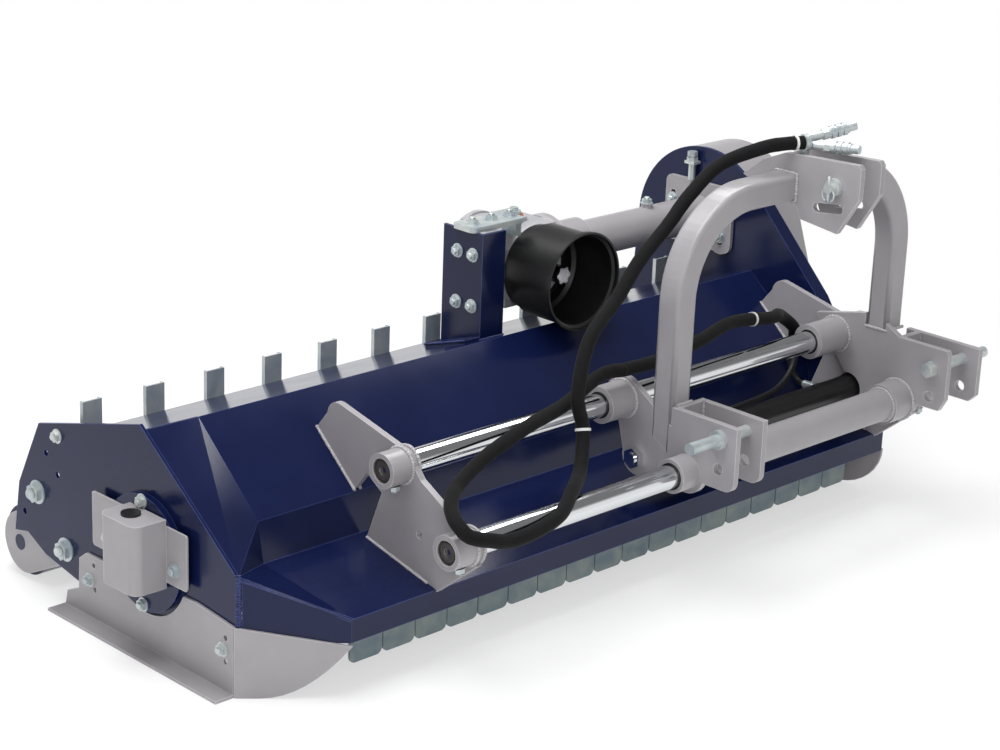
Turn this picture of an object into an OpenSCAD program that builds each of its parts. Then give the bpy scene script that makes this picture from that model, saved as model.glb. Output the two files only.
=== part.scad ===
// Side-shift flail mower for a three-point hitch.
// X runs from the bearing end to the belt end, Y from the tractor to the roller, Z up.
// The origin is on the ground, under the middle of the machine's outline.

/* [Deck] */
// Width over the outer faces of both end plates
deck_w = 1571; // [1500:1:1650]
// End plate thickness
plate_t = 6; // [5:0.5:8]
// Hood sheet thickness
hood_t = 4; // [3:0.5:5]
// Depth of the crown fold, measured along Y
crown_y = 103; // [96:1:108]
// Height of the crown fold
crown_z = 392; // [388:1:394]
// Depth of the hood's rear edge
tail_top_y = 310; // [296:1:320]
// Height of the hood's rear edge
tail_top_z = 327; // [318:1:334]
// Depth of the tail panel's lower edge
tail_y = 440; // [434:1:444]
// Height of the tail panel's lower edge
tail_z = 235; // [228:1:242]
// Depth of the brow fold, below the sloping front
brow_y = -60; // [-64:1:-56]
// Height of the brow fold
brow_z = 253; // [248:1:258]
// Depth of the fold where the wall meets the ledge
ledge_y = -75; // [-80:1:-71]
// Height of the fold where the wall meets the ledge
ledge_z = 182; // [176:1:186]
// Depth of the front lip
lip_y = -269; // [-275:1:-262]
// Height of the fold where the ledge meets the lip
lip_top_z = 140; // [136:1:144]
// Height of the lip's lower edge
lip_z = 98; // [92:1:104]
// Length of the bevel at the hood's bearing end
bevel_w = 114; // [100:1:130]
// Length of the chamfer at the lip's bearing end, along X
nose_w = 143; // [130:1:156]
// Depth at which the chamfer starts on the end plate
nose_y = -147; // [-152:1:-142]

/* [Belt end] */
// Radius of the round top of the belt end plate
crest_r = 179; // [177:1:184]
// Height of the round top's centre
crest_z = 449; // [446:1:454]
// Width of the folded strip on the plate's front edge
strip_w = 28; // [20:1:36]
// Depth of the belt cover, outwards
cover_d = 119; // [114:1:126]
// Sheet thickness of the belt cover
cover_t = 3; // [2:0.5:4]

/* [Rotor] */
// Depth of the rotor's axis
rotor_y = 88; // [84:1:92]
// Height of the rotor's axis
rotor_z = 182; // [178:1:186]
// Outer radius of the rotor tube
rotor_r = 44.5; // [42:0.5:46]
// Radius of the circle that the hammer pins stand on
pin_circle_r = 80; // [78:0.5:82]
// Radius of a hammer pin
hammer_pin_r = 8; // [7:0.5:9]
// Reach of a hammer below its pin
hammer_reach = 55; // [50:1:58]
// Thickness of a hammer
hammer_t = 12; // [10:0.5:12]
// Hammers in each of the four rows
hammers_per_row = 6; // [4:1:6]
// Radius of the rotor's stub shafts
stub_r = 25; // [22:1:28]
// Pitch radius of the rotor pulley
rotor_pulley_r = 80; // [74:1:86]

/* [Drive] */
// Depth of the drive shaft and gearbox centre
drive_y = 251; // [248:1:254]
// Height of the drive shaft and gearbox centre
drive_z = 486; // [484:1:490]
// Place of the gearbox centre along the deck
gearbox_x = 988; // [975:1:1000]
// Outer radius of the drive tube
tube_r = 39; // [36:1:42]
// Wall of the drive tube
tube_wall = 6; // [4:0.5:8]
// Radius of the drive shaft inside the tube
drive_r = 15; // [13:0.5:17]
// Pitch radius of the drive pulley
drive_pulley_r = 105; // [98:1:110]
// Width of one belt
belt_w = 17; // [15:0.5:18]
// Belts side by side
belt_n = 4; // [3:1:4]
// Radius over the splines of the input shaft
spline_r = 17.5; // [16.5:0.25:19]
// Outer radius of the guard's body
guard_r = 91; // [86:0.5:91]
// Depth of the guard's open end
guard_mouth_y = 40; // [32:1:48]

/* [Skids and roller] */
// Sheet thickness of the skids
skid_t = 5; // [4:0.5:6]
// Width of a skid's foot
foot_w = 42; // [36:1:50]
// Depth of the foot's rear end
foot_rear_y = 331; // [318:1:345]
// Depth of the roller's axis
roller_y = 489; // [484:1:494]
// Radius of the roller
roller_r = 66; // [64:1:68]
// Wall of the roller tube
roller_wall = 6; // [4:0.5:8]
// Radius of the roller's stub axles
axle_r = 15; // [13:0.5:17]
// Depth of the roller arm's pivot
pivot_y = 332; // [328:1:336]
// Height of the roller arm's pivot
pivot_z = 105; // [102:1:108]
// Depth of the roller arm's clamping bolt
clamp_y = 416; // [412:1:420]
// Height of the roller arm's clamping bolt
clamp_z = 188; // [184:1:192]
// Thickness of a roller arm
arm_t = 10; // [8:0.5:12]

/* [Slide frame] */
// Radius of the two slide shafts
shaft_r = 22; // [20:0.5:24]
// Depth of the upper slide shaft
upper_y = -175; // [-179:1:-171]
// Height of the upper slide shaft
upper_z = 336; // [333:1:339]
// Depth of the lower slide shaft
lower_y = -337; // [-341:1:-333]
// Height of the lower slide shaft
lower_z = 241; // [238:1:244]
// Place of the bearing-end bracket along the deck
bracket_x = 330; // [315:1:345]
// Distance between the two brackets' outer faces
bracket_span = 1215; // [1205:1:1222]
// Thickness of the brackets
bracket_t = 12; // [10:0.5:14]
// Outer radius of the bosses that hold the shafts
boss_r = 31; // [29:1:34]
// Travel of the headstock
stroke = 440; // [380:1:445]

/* [Headstock] */
// Side of the arch's square tube
arch_s = 50; // [46:1:54]
// Wall of the arch's square tube
arch_wall = 4; // [3:0.5:6]
// Place of the arch's left leg, at its centre
arch_x = 901; // [891:1:911]
// Distance between the two legs' centres
arch_span = 630; // [618:1:638]
// Depth of the arch's centre plane
arch_y = -270; // [-274:1:-266]
// Height of the top tube's centre
arch_z = 710; // [690:1:730]
// Bend radius of the arch, at the tube's centre
arch_bend_r = 170; // [150:1:190]
// Thickness of the headstock's plates
head_t = 12; // [10:0.5:14]
// Outer radius of the upper sleeves
upper_sleeve_r = 35; // [32:1:37]
// Outer radius of the lower sleeve
lower_sleeve_r = 32; // [30:1:34]
// Radius of the hitch pins
hitch_pin_r = 11; // [10:0.25:12]
// Depth of the hitch pins
hitch_y = -410; // [-414:1:-406]
// Height of the upper pair of hitch holes
hitch_z = 323; // [320:1:326]
// Distance down to the lower pair of hitch holes
hitch_drop = 57; // [50:1:60]
// Radius of the cylinder barrel
barrel_r = 26; // [24:0.5:28]
// Radius of the cylinder rod
rod_r = 15; // [13:0.5:17]

/* [Hoses] */
// Radius of the woven sleeve around both hoses
sleeve_r = 13; // [11:0.5:14]
// Radius of one hydraulic hose
hose_r = 6.5; // [5.5:0.5:7]

/* [Flaps] */
// Flaps along the front
flap_n = 18; // [12:6:18]
// Height of the flaps' lower edge
flap_z = 52; // [46:1:60]
// Thickness of a flap
flap_t = 4; // [3:0.5:5]
// Radius of the flap rod
flap_rod_r = 6; // [5:0.5:7]

/* [Rakes] */
// Rake bars along the rear edge
rake_n = 12; // [8:1:13]
// Width of a rake bar
rake_w = 40; // [34:1:46]
// Height of a rake bar above the hood's rear edge
rake_rise = 51; // [40:1:60]

/* [Hidden] */
$fn = 64;

navy = "#26305e";
gray = "#a5a3a8";
zinc = "#c3cbd0";
cast = "#b8b8ba";
black = "#202022";
chrome = "#dfe3e8";

fit_gap = 0.05;
seat_gap = 0.3;
bolt_gap = 0.3;
over = 1;

plate_in = plate_t;
deck_in = deck_w - plate_t;
floor_z = 0;

box_out = 80;
box_base = 15;
disc_t = 12;
x_min = -box_out;
x_max = deck_w + cover_d;
lug_front_y = hitch_y - 38;
roller_back_y = roller_y + roller_r;
mid_x = (x_min + x_max) / 2;
mid_y = (lug_front_y + roller_back_y) / 2;

front_rise = (crown_z - brow_z) / (crown_y - brow_y);
top_fall = (tail_top_z - crown_z) / (tail_top_y - crown_y);
function hood_front_z(y) = crown_z + front_rise * (y - crown_y);
function hood_top_z(y) = crown_z + top_fall * (y - crown_y);
function hood_ledge_z(y) = ledge_z + (lip_top_z - ledge_z) * (y - ledge_y) / (lip_y - ledge_y);

// Place machine coordinates in the part's own frame
module place() {
    translate([-mid_x, -mid_y, 0]) children();
}

// A flat outline in Y and Z, given thickness along X
module slab(x, t) {
    translate([x, 0, 0]) rotate([90, 0, 90]) linear_extrude(t) children();
}

// Round bars along each axis
module rod_x(x0, x1, y, z, r) {
    translate([x0, y, z]) rotate([0, 90, 0]) cylinder(h = x1 - x0, r = r);
}

module rod_y(y0, y1, x, z, r) {
    translate([x, y0, z]) rotate([-90, 0, 0]) cylinder(h = y1 - y0, r = r);
}

module rod_z(z0, z1, x, y, r) {
    translate([x, y, z0]) cylinder(h = z1 - z0, r = r);
}

// Hexagon bars along each axis, for bolt heads and nuts
module hex_x(x0, x1, y, z, r) {
    translate([x0, y, z]) rotate([0, 90, 0]) cylinder(h = x1 - x0, r = r, $fn = 6);
}

module hex_y(y0, y1, x, z, r) {
    translate([x, y0, z]) rotate([-90, 0, 0]) cylinder(h = y1 - y0, r = r, $fn = 6);
}

module hex_z(z0, z1, x, y, r) {
    translate([x, y, z0]) cylinder(h = z1 - z0, r = r, $fn = 6);
}

module block(p, q) {
    translate(p) cube(q - p);
}

// The flanks between two circles stand a hair inside their outer tangents
flank_in = 0.05;

module flanks(a, ra, b, rb) {
    d = norm(b - a);
    turn = atan2(b[1] - a[1], b[0] - a[0]);
    lean = acos((ra - rb) / d);
    function on(c, r, s) = c + (r - flank_in) * [cos(turn + s * lean), sin(turn + s * lean)];
    polygon([on(a, ra, 1), on(b, rb, 1), on(b, rb, -1), on(a, ra, -1)]);
}

// Two circles of a plate, joined by their flanks
module round_link(a, ra, b, rb) {
    translate(a) circle(ra);
    translate(b) circle(rb);
    flanks(a, ra, b, rb);
}

// The same link with thickness along X
module link_x(x, t, a, ra, b, rb) {
    rod_x(x, x + t, a[0], a[1], ra);
    rod_x(x, x + t, b[0], b[1], rb);
    slab(x, t) flanks(a, ra, b, rb);
}

// A square with its four corners rounded
module round_rect(p, q, r) {
    for (x = [p[0] + r, q[0] - r], y = [p[1] + r, q[1] - r]) translate([x, y]) circle(r);
    translate([p[0] + r, p[1]]) square([q[0] - p[0] - 2 * r, q[1] - p[1]]);
    translate([p[0], p[1] + r]) square([q[0] - p[0], q[1] - p[1] - 2 * r]);
}

// A folded sheet: a line of points and the same line moved sideways, with mitred corners
function side(a, b) = [a[1] - b[1], b[0] - a[0]] / norm(b - a);
function mitre(n, m, t) = t * (n + m) / (1 + n * m);
function moved(p, t) = [for (i = [0 : len(p) - 1])
    i == 0 ? p[0] + t * side(p[0], p[1])
    : i == len(p) - 1 ? p[i] + t * side(p[i - 1], p[i])
    : p[i] + mitre(side(p[i - 1], p[i]), side(p[i], p[i + 1]), t)];
function backwards(p) = [for (i = [len(p) - 1 : -1 : 0]) p[i]];

module folded(p, t) {
    polygon(concat(p, backwards(moved(p, t))));
}

// Deck

tail_bottom = [tail_y, tail_z];
hood_line = [[lip_y, lip_z], [lip_y, lip_top_z], [ledge_y, ledge_z], [brow_y, brow_z],
    [crown_y, crown_z], [tail_top_y, tail_top_z], tail_bottom];

// Everything under the hood's outer face, used to seat what stands on it
module under_hood() {
    polygon(concat(hood_line, [[tail_y, lip_z - 100], [lip_y, lip_z - 100]]));
}

plate_crown = [crown_y + 6, crown_z + 11];
plate_chin = [nose_y - 1, ledge_z + 33];
plate_toe_z = 60;
plate_rear = [[292, 56], [396, 75], [451, 101], [roller_y + 3, 92], [475, 190]];

module end_outline_left() {
    polygon(concat([[408, 320], plate_crown, plate_chin, [nose_y, plate_toe_z]], plate_rear));
}

crest_y = 247;
strip_lean = 45.6;
strip_top = [crest_y, crest_z] + crest_r * [-sin(strip_lean), cos(strip_lean)];
strip_knee_z = 374;
strip_knee = strip_top - (strip_top[1] - strip_knee_z) * [cos(strip_lean) / sin(strip_lean), 1];
strip_foot = [lip_y + 24, lip_top_z - 9];

module end_outline_right() {
    translate([crest_y, crest_z]) circle(crest_r);
    polygon(concat([strip_top, strip_knee, strip_foot, [strip_foot[0], lip_z], [nose_y, plate_toe_z]],
        plate_rear, [[439, 235], [crest_y + crest_r, crest_z]]));
}

bolt_r = 6;
big_bolt_r = 10;
plate_bolt = [351, 312];
plate_holes = [[387, 270], [353, 239], [459, 138]];
skid_bolts = [[254, 75], [-119, 78]];
bearing_bolt_circle = 94;
hub_r = 60;

module plate_drilling() {
    translate([rotor_y, rotor_z]) circle(hub_r + seat_gap);
    translate([pivot_y, pivot_z]) circle(big_bolt_r + bolt_gap);
    translate([clamp_y, clamp_z]) circle(big_bolt_r + bolt_gap);
    translate(plate_bolt) circle(bolt_r + bolt_gap);
    for (p = plate_holes) translate(p) circle(6);
    for (p = skid_bolts) translate(p) circle(bolt_r + bolt_gap);
    bearing_bolts() circle(bolt_r + bolt_gap);
}

module bearing_bolts() {
    for (a = [0 : 90 : 270])
        translate([rotor_y, rotor_z] + bearing_bolt_circle * [cos(a), sin(a)]) children();
}

module end_plate_left() {
    color(navy) slab(0, plate_t) difference() {
        end_outline_left();
        plate_drilling();
    }
}

drive_window_r = 50;

module end_plate_right() {
    color(navy) {
        slab(deck_in, plate_t) difference() {
            end_outline_right();
            plate_drilling();
            translate([drive_y, drive_z]) circle(drive_window_r);
            tensioner_bolts() circle(bolt_r + bolt_gap);
        }
        slab(deck_w, strip_w) folded([strip_foot, strip_knee, strip_top], -5);
    }
}

chamfer_run = [nose_w, lip_y - nose_y];
chamfer_len = norm(chamfer_run);
chamfer_turn = atan2(chamfer_run[1], chamfer_run[0]);

// Upright plane of the chamfer: local X along it, local Y inwards
module on_chamfer() {
    translate([0, nose_y, 0]) rotate(chamfer_turn) children();
}

module panel(points) {
    hull() for (p = points) translate(p) cube(hood_t, center = true);
}

half_t = hood_t / 2;
rake_pitch = 134;
rake_first_x = (deck_w - (rake_n - 1) * rake_pitch) / 2;
rake_t = 4;
rake_lip = 9;
rake_y = tail_top_y + 3;

module hood() {
    color(navy) difference() {
        union() {
            difference() {
                slab(bevel_w, deck_in - bevel_w) folded(hood_line, -hood_t);
                on_chamfer() block([-200, -200, 0], [400, 0, 500]);
            }
            slab(plate_in, bevel_w - plate_in)
                folded([[crown_y, crown_z], [tail_top_y, tail_top_z], tail_bottom], -hood_t);
            panel([[plate_in + half_t, crown_y + 2, crown_z - 1], [plate_in + half_t, nose_y + 6, plate_chin[1] - 6],
                [bevel_w, brow_y + half_t, brow_z - half_t], [bevel_w, crown_y, crown_z - half_t]]);
            panel([[plate_in + half_t, nose_y + 6, plate_chin[1] - 6], [bevel_w, brow_y + half_t, brow_z - half_t],
                [bevel_w, ledge_y + half_t, ledge_z - half_t]]);
            panel([[plate_in + half_t, nose_y + 6, plate_chin[1] - 6], [bevel_w, ledge_y + half_t, ledge_z - half_t],
                [nose_w, lip_y + half_t, lip_top_z - half_t]]);
            intersection() {
                on_chamfer() block([plate_in + 4, 0, lip_z - 20], [chamfer_len + 4, hood_t, 250]);
                slab(plate_in, nose_w) polygon([[lip_y, lip_z], [nose_y + 20, lip_z], [nose_y + 20, 236],
                    [nose_y, plate_chin[1] - 6], [lip_y, lip_top_z]]);
            }
            for (x = [flap_x0 - 2 - hood_t, hanger_x]) slab(x, hood_t) difference() {
                polygon([[lip_y + half_t, lip_z + half_t], [flap_rod_y + 14, lip_z + half_t],
                    [flap_rod_y + 14, hood_ledge_z(flap_rod_y + 14) - half_t], [lip_y + half_t, lip_top_z - half_t]]);
                translate([flap_rod_y, flap_rod_z]) circle(flap_rod_r + fit_gap);
            }
        }
        for (i = [0 : rake_n - 1]) translate([rake_first_x + i * rake_pitch, 0, 0])
            block([-rake_w / 2 - seat_gap, rake_y - seat_gap, 0],
                [rake_w / 2 + seat_gap, rake_y + rake_lip + seat_gap, 500]);
    }
}

module rakes() {
    color(zinc) for (i = [0 : rake_n - 1])
        translate([rake_first_x + i * rake_pitch - rake_w / 2, rake_y, 245])
            linear_extrude(tail_top_z + rake_rise - 245) {
                square([rake_w, rake_t]);
                square([rake_t, rake_lip]);
                translate([rake_w - rake_t, 0]) square([rake_t, rake_lip]);
            }
}

counter_t = 10;

module counter_bar() {
    low = [ledge_y, ledge_z];
    high = [brow_y, brow_z];
    seat = moved([low + 0.15 * (high - low), low + 0.65 * (high - low)], -hood_t - fit_gap);
    color(navy) slab(bevel_w + 4, deck_in - bevel_w - 4) folded(seat, -counter_t);
}

// Bearings and covers at the rotor's ends

module rotor_bearings() {
    color(navy) {
        difference() {
            union() {
                rod_x(-disc_t, 0, rotor_y, rotor_z, disc_r);
                rod_x(0, plate_in + 26, rotor_y, rotor_z, hub_r);
            }
            rod_x(-box_out, 100, rotor_y, rotor_z, stub_r + fit_gap);
            slab(-disc_t - over, disc_t + 2 * over) bearing_bolts() circle(bolt_r + bolt_gap);
        }
        difference() {
            union() {
                rod_x(deck_w, deck_w + disc_t, rotor_y, rotor_z, disc_r);
                rod_x(deck_in - 26, deck_w, rotor_y, rotor_z, hub_r);
            }
            rod_x(deck_in - 50, deck_w + 50, rotor_y, rotor_z, stub_r + fit_gap);
            slab(deck_w - over, disc_t + 2 * over) bearing_bolts() circle(bolt_r + bolt_gap);
        }
    }
}

disc_r = 104;
box_y0 = 18;
box_y1 = 118;
box_z0 = 142;
box_z1 = 265;
box_wall = 3;

module rotor_end_cover() {
    color(gray) {
        difference() {
            translate([0, 0, box_z0]) linear_extrude(box_z1 - box_z0) intersection() {
                round_rect([-box_out, box_y0], [20, box_y1], 18);
                translate([-box_out, 0]) square([box_out - box_base, 300]);
            }
            translate([0, 0, box_z0 + box_wall]) linear_extrude(box_z1 - box_z0 - 2 * box_wall) intersection() {
                round_rect([-box_out + box_wall, box_y0 + box_wall], [20, box_y1 - box_wall], 15);
                translate([-box_out, 0]) square([box_out - box_base + over, 300]);
            }
        }
        slab(-box_base, box_base - disc_t) difference() {
            round_rect([-38, 153], [228, 253], 6);
            translate([rotor_y, rotor_z]) circle(stub_r + 3);
            bearing_bolts() circle(bolt_r + bolt_gap);
        }
    }
}

module cover_plug() {
    color(black) rod_z(box_z1, box_z1 + 4, -45, 74, 17);
}

// Skids

ear = [[288, 48], [285, 106], [264, 122]];
skid_arc_r = 112;
skid_top_z = 124;
skid_front_z = 126;

module skid_outline(front) {
    difference() {
        polygon(concat([[foot_rear_y, floor_z], [foot_rear_y - 8, 32]], ear,
            [[184, skid_top_z], [150, skid_top_z + 10], [-25, skid_top_z + 11], [-46, skid_top_z + 12]], front));
        translate([rotor_y, rotor_z]) circle(skid_arc_r);
        for (y = [240, 242]) translate([y, y == 240 ? 60 : 105]) circle(5);
        for (p = skid_bolts) translate(p) circle(bolt_r + bolt_gap);
        for (z = [58, 100]) translate([skid_bolts[1][0] - 7, z]) circle(5);
    }
}

module foot(x) {
    translate([x, nose_y, floor_z]) cube([foot_w, foot_rear_y - nose_y, skid_t]);
}

nose_len = chamfer_len + 2;
function nose_curve(s) = [40 + (nose_len - 40) * s, (lip_z - 4) * s * s];

module skid_left() {
    color(gray) difference() {
        union() {
            slab(-skid_t, skid_t) skid_outline([[nose_y, skid_front_z], [nose_y, floor_z]]);
            foot(-foot_w);
            on_chamfer() translate([0, -skid_t, 0]) rotate([90, 0, 0]) mirror([0, 0, 1])
                linear_extrude(skid_t - fit_gap) polygon(concat([[-2, skid_front_z], [-2, floor_z]],
                    [for (i = [0 : 8]) nose_curve(i / 8)]));
        }
        block([0, nose_y, -over], [plate_t + over, 0, 200]);
    }
}

module skid_right() {
    color(gray) {
        slab(deck_w, skid_t) skid_outline(concat([[nose_y, skid_front_z - 22], [lip_y + 4, lip_z]],
            [for (a = [90 : -10 : 0]) [nose_y - 118 * sin(a), lip_z * (1 - cos(a))]]));
        foot(deck_w);
    }
}

module body_bolts() {
    color(zinc) for (s = [0, 1]) {
        out = s == 0 ? -1 : 1;
        face = s * deck_w;
        inner = s == 0 ? plate_in : deck_in;
        for (p = [[clamp_y, clamp_z], [pivot_y, pivot_z]]) {
            bolt_through(face, inner - out * (arm_t + 3), out, p, big_bolt_r);
        }
        if (s == 0) bolt_through(face, inner, out, plate_bolt, bolt_r);
        for (p = skid_bolts) bolt_through(face + out * skid_t, inner, out, p, bolt_r);
        for (a = [0 : 90 : 270])
            bolt_through(face + out * (s == 0 && a != 90 && a != 270 ? box_base : disc_t), inner, out,
                [rotor_y, rotor_z] + bearing_bolt_circle * [cos(a), sin(a)], bolt_r);
    }
}

// A bolt with its head outside and a nut inside
module bolt_through(face, inner, out, p, r) {
    a = out < 0 ? face - r * 1.3 : inner - r * 1.6;
    b = out < 0 ? inner + r * 1.6 : face + r * 1.3;
    rod_x(a, b, p[0], p[1], r);
    head = [face, face + out * r * 1.3];
    nut = [inner, inner - out * r * 1.4];
    hex_x(min(head), max(head), p[0], p[1], r * 1.8);
    hex_x(min(nut), max(nut), p[0], p[1], r * 1.8);
}

// Rear roller and its arms

arm_gap = 2;
arm_plate_r = 58;
clamp_radius = norm([clamp_y - pivot_y, clamp_z - pivot_z]);
clamp_angle = atan2(clamp_z - pivot_z, clamp_y - pivot_y);
arm_swing = 10;

module arm_outline() {
    difference() {
        union() {
            round_link([pivot_y, pivot_z], 26, [roller_y - 8, roller_r + 2], arm_plate_r);
            round_link([clamp_y, clamp_z], 26, [roller_y - 30, roller_r + 10], 40);
            round_link([clamp_y - 22, clamp_z + 20], 24, [pivot_y, pivot_z], 26);
        }
        translate([pivot_y, pivot_z]) circle(big_bolt_r + fit_gap);
        translate([pivot_y, pivot_z]) for (a = [-arm_swing : 2 : arm_swing])
            rotate(clamp_angle + a) translate([clamp_radius, 0]) circle(big_bolt_r + 1);
        translate([roller_y, roller_r]) circle(axle_r + fit_gap);
    }
}

module roller_arms() {
    color(gray) for (x = [plate_in + arm_gap, deck_in - arm_gap - arm_t]) slab(x, arm_t) arm_outline();
}

roller_end_gap = 6;

module rear_roller() {
    x0 = plate_in + arm_gap + arm_t + roller_end_gap;
    head = 12;
    color(navy) {
        difference() {
            rod_x(x0, deck_w - x0, roller_y, roller_r, roller_r);
            rod_x(x0 + head, deck_w - x0 - head, roller_y, roller_r, roller_r - roller_wall);
        }
        rod_x(plate_in + arm_gap - 1, x0 + over, roller_y, roller_r, axle_r);
        rod_x(deck_w - x0 - over, deck_w - plate_in - arm_gap + 1, roller_y, roller_r, axle_r);
    }
}

// Rotor, hammers and pulleys

rotor_x0 = plate_in + 34;
rotor_x1 = deck_in - 34;
row_angles = [45, 135, 225, 315];
hammer_w = 40;
hammer_edge_w = 58;
ear_t = 8;
ear_gap = 1;
hammer_pitch = (rotor_x1 - rotor_x0 - 80) / (4 * hammers_per_row - 1);
function hammer_x(row, i) = rotor_x0 + 40 + (4 * i + [0, 2, 1, 3][row]) * hammer_pitch;
function pin_at(row) = [rotor_y, rotor_z] + pin_circle_r * [cos(row_angles[row]), sin(row_angles[row])];

module rotor_tube() {
    color(navy) {
        difference() {
            rod_x(rotor_x0, rotor_x1, rotor_y, rotor_z, rotor_r);
            rod_x(rotor_x0 + 15, rotor_x1 - 15, rotor_y, rotor_z, rotor_r - 9);
        }
        rod_x(-box_out + 40, rotor_x0 + over, rotor_y, rotor_z, stub_r);
        rod_x(rotor_x1 - over, pulley_x1 + 3, rotor_y, rotor_z, stub_r);
        for (row = [0 : 3], i = [0 : hammers_per_row - 1], s = [-1, 1])
            slab(hammer_x(row, i) + s * (hammer_w / 2 + ear_gap) - (s < 0 ? ear_t : 0), ear_t)
                difference() {
                    translate([rotor_y, rotor_z]) rotate(row_angles[row]) {
                        translate([pin_circle_r, 0]) circle(14);
                        translate([rotor_r - 3, -14]) square([pin_circle_r - rotor_r + 3, 28]);
                    }
                    translate(pin_at(row)) circle(hammer_pin_r + fit_gap);
                }
    }
}

module hammer_pins() {
    half = hammer_w / 2 + ear_gap + ear_t;
    color(zinc) for (row = [0 : 3], i = [0 : hammers_per_row - 1]) {
        x = hammer_x(row, i);
        p = pin_at(row);
        rod_x(x - half - 8, x + half + 8, p[0], p[1], hammer_pin_r);
        hex_x(x - half - 7, x - half, p[0], p[1], 12);
        hex_x(x + half, x + half + 7, p[0], p[1], 12);
    }
}

// A forged hammer: a round eye, a waist and a wide cutting edge
module hammer() {
    difference() {
        union() {
            rod_x(-hammer_w / 2, hammer_w / 2, 0, 0, hammer_pin_r + 6);
            translate([0, hammer_t / 2, 0]) rotate([90, 0, 0]) linear_extrude(hammer_t)
                polygon([[-hammer_w / 2, 0], [hammer_w / 2, 0], [hammer_w / 2, -34],
                    [hammer_edge_w / 2, -42], [hammer_edge_w / 2, -hammer_reach],
                    [-hammer_edge_w / 2, -hammer_reach], [-hammer_edge_w / 2, -42], [-hammer_w / 2, -34]]);
        }
        rod_x(-hammer_w, hammer_w, 0, 0, hammer_pin_r + fit_gap);
    }
}

module hammers(row) {
    p = pin_at(row);
    color(cast) for (i = [0 : hammers_per_row - 1]) translate([hammer_x(row, i), p[0], p[1]]) hammer();
}

pulley_x0 = deck_w + disc_t + 3;
pulley_rim = 3;
belt_pitch = belt_w + 2;
pulley_x1 = pulley_x0 + 2 * pulley_rim + belt_n * belt_pitch;
belt_h = 11;
groove_top = 4;
groove_w0 = belt_w / 2 - 3;
groove_w1 = belt_w / 2 + 1;
function groove_half(h) = groove_w0 + (groove_w1 - groove_w0) * (h + belt_h) / (groove_top + belt_h);

// A grooved wheel turned about its own axis, which points along X
module pulley(r, bore) {
    rotate([0, 90, 0]) rotate_extrude() difference() {
        translate([bore, 0]) square([r + 3 - bore, pulley_x1 - pulley_x0]);
        for (i = [0 : belt_n - 1]) translate([0, pulley_rim + (i + 0.5) * belt_pitch])
            polygon([[r + groove_top, -groove_w1], [r + groove_top, groove_w1],
                [r - belt_h, groove_w0], [r - belt_h, -groove_w0]]);
        translate([r * 0.55, -over]) square([r * 0.25, 20]);
        translate([r * 0.55, pulley_x1 - pulley_x0 - 20 + over]) square([r * 0.25, 20]);
    }
}

module rotor_pulley() {
    color(cast) translate([pulley_x0, rotor_y, rotor_z]) pulley(rotor_pulley_r, stub_r + fit_gap);
}

module drive_pulley() {
    color(cast) translate([pulley_x0, drive_y, drive_z]) pulley(drive_pulley_r, drive_r + fit_gap);
}

module belt_ring(top_r, low_r) {
    round_link([drive_y, drive_z], top_r, [rotor_y, rotor_z], low_r);
}

module drive_belts() {
    inner = 7;
    outer = 1;
    foot = groove_half(-inner) - seat_gap;
    color(black) for (i = [0 : belt_n - 1])
        slab(pulley_x0 + pulley_rim + (i + 0.5) * belt_pitch - foot, 2 * foot) difference() {
            belt_ring(drive_pulley_r + outer, rotor_pulley_r + outer);
            belt_ring(drive_pulley_r - inner, rotor_pulley_r - inner);
        }
}

cover_y = 250;
cover_z = 456;
cover_top_r = 170;
cover_low_r = disc_r + cover_t + 2;

module belt_cover() {
    color(gray) difference() {
        link_x(deck_w, cover_d, [cover_y, cover_z], cover_top_r, [rotor_y, rotor_z], cover_low_r);
        link_x(deck_w - over, cover_d - cover_t + over, [cover_y, cover_z], cover_top_r - cover_t,
            [rotor_y, rotor_z], cover_low_r - cover_t);
    }
}

// Gearbox and drive line

gearbox_left_x = gearbox_x - 95;
gearbox_right_x = gearbox_x + 95;
gearbox_front_y = drive_y - 77;
gearbox_back_y = drive_y + 94;
gearbox_r = 72;
bracket_side_x = gearbox_x - 188;
arm_x0 = bracket_side_x + 6;
bracket_top_z = drive_z + 104;

module gearbox_housing() {
    color(cast) difference() {
        union() {
            rod_y(gearbox_front_y, gearbox_back_y, gearbox_x, drive_z, gearbox_r);
            rod_x(gearbox_left_x, gearbox_right_x, drive_y, drive_z, gearbox_r - 8);
            translate([gearbox_x, drive_y, drive_z]) cube([132, 130, 152], center = true);
            rod_y(gearbox_front_y, gearbox_front_y + 14, gearbox_x, drive_z, gearbox_r + 10);
            rod_y(gearbox_back_y - 12, gearbox_back_y, gearbox_x, drive_z, gearbox_r + 4);
            rod_x(gearbox_left_x, gearbox_left_x + 12, drive_y, drive_z, gearbox_r);
            rod_x(gearbox_right_x - 14, gearbox_right_x, drive_y, drive_z, gearbox_r);
            rod_z(drive_z, drive_z + 84, gearbox_x + 14, drive_y, 26);
            rod_y(gearbox_front_y - 14, gearbox_front_y, gearbox_x, drive_z, 58);
            for (z = [drive_z - 40, drive_z + 60])
                block([arm_x0, gearbox_front_y + 4, z - 16], [gearbox_x - 60, drive_y - 40, z + 16]);
            block([arm_x0, drive_y - 115, drive_z - 50], [arm_x0 + 14, drive_y - 40, drive_z + 70]);
            for (a = [-45, 45, 135, 225])
                rod_x(gearbox_left_x - 5, gearbox_left_x + 20, drive_y + 58 * cos(a), drive_z + 58 * sin(a), 8);
        }
        rod_y(gearbox_front_y - 30, drive_y - 40, gearbox_x, drive_z, spline_r + fit_gap);
        rod_x(gearbox_x + 20, gearbox_right_x + 20, drive_y, drive_z, drive_r + fit_gap);
        bracket_bolts() circle(bolt_r + bolt_gap);
    }
}

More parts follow.
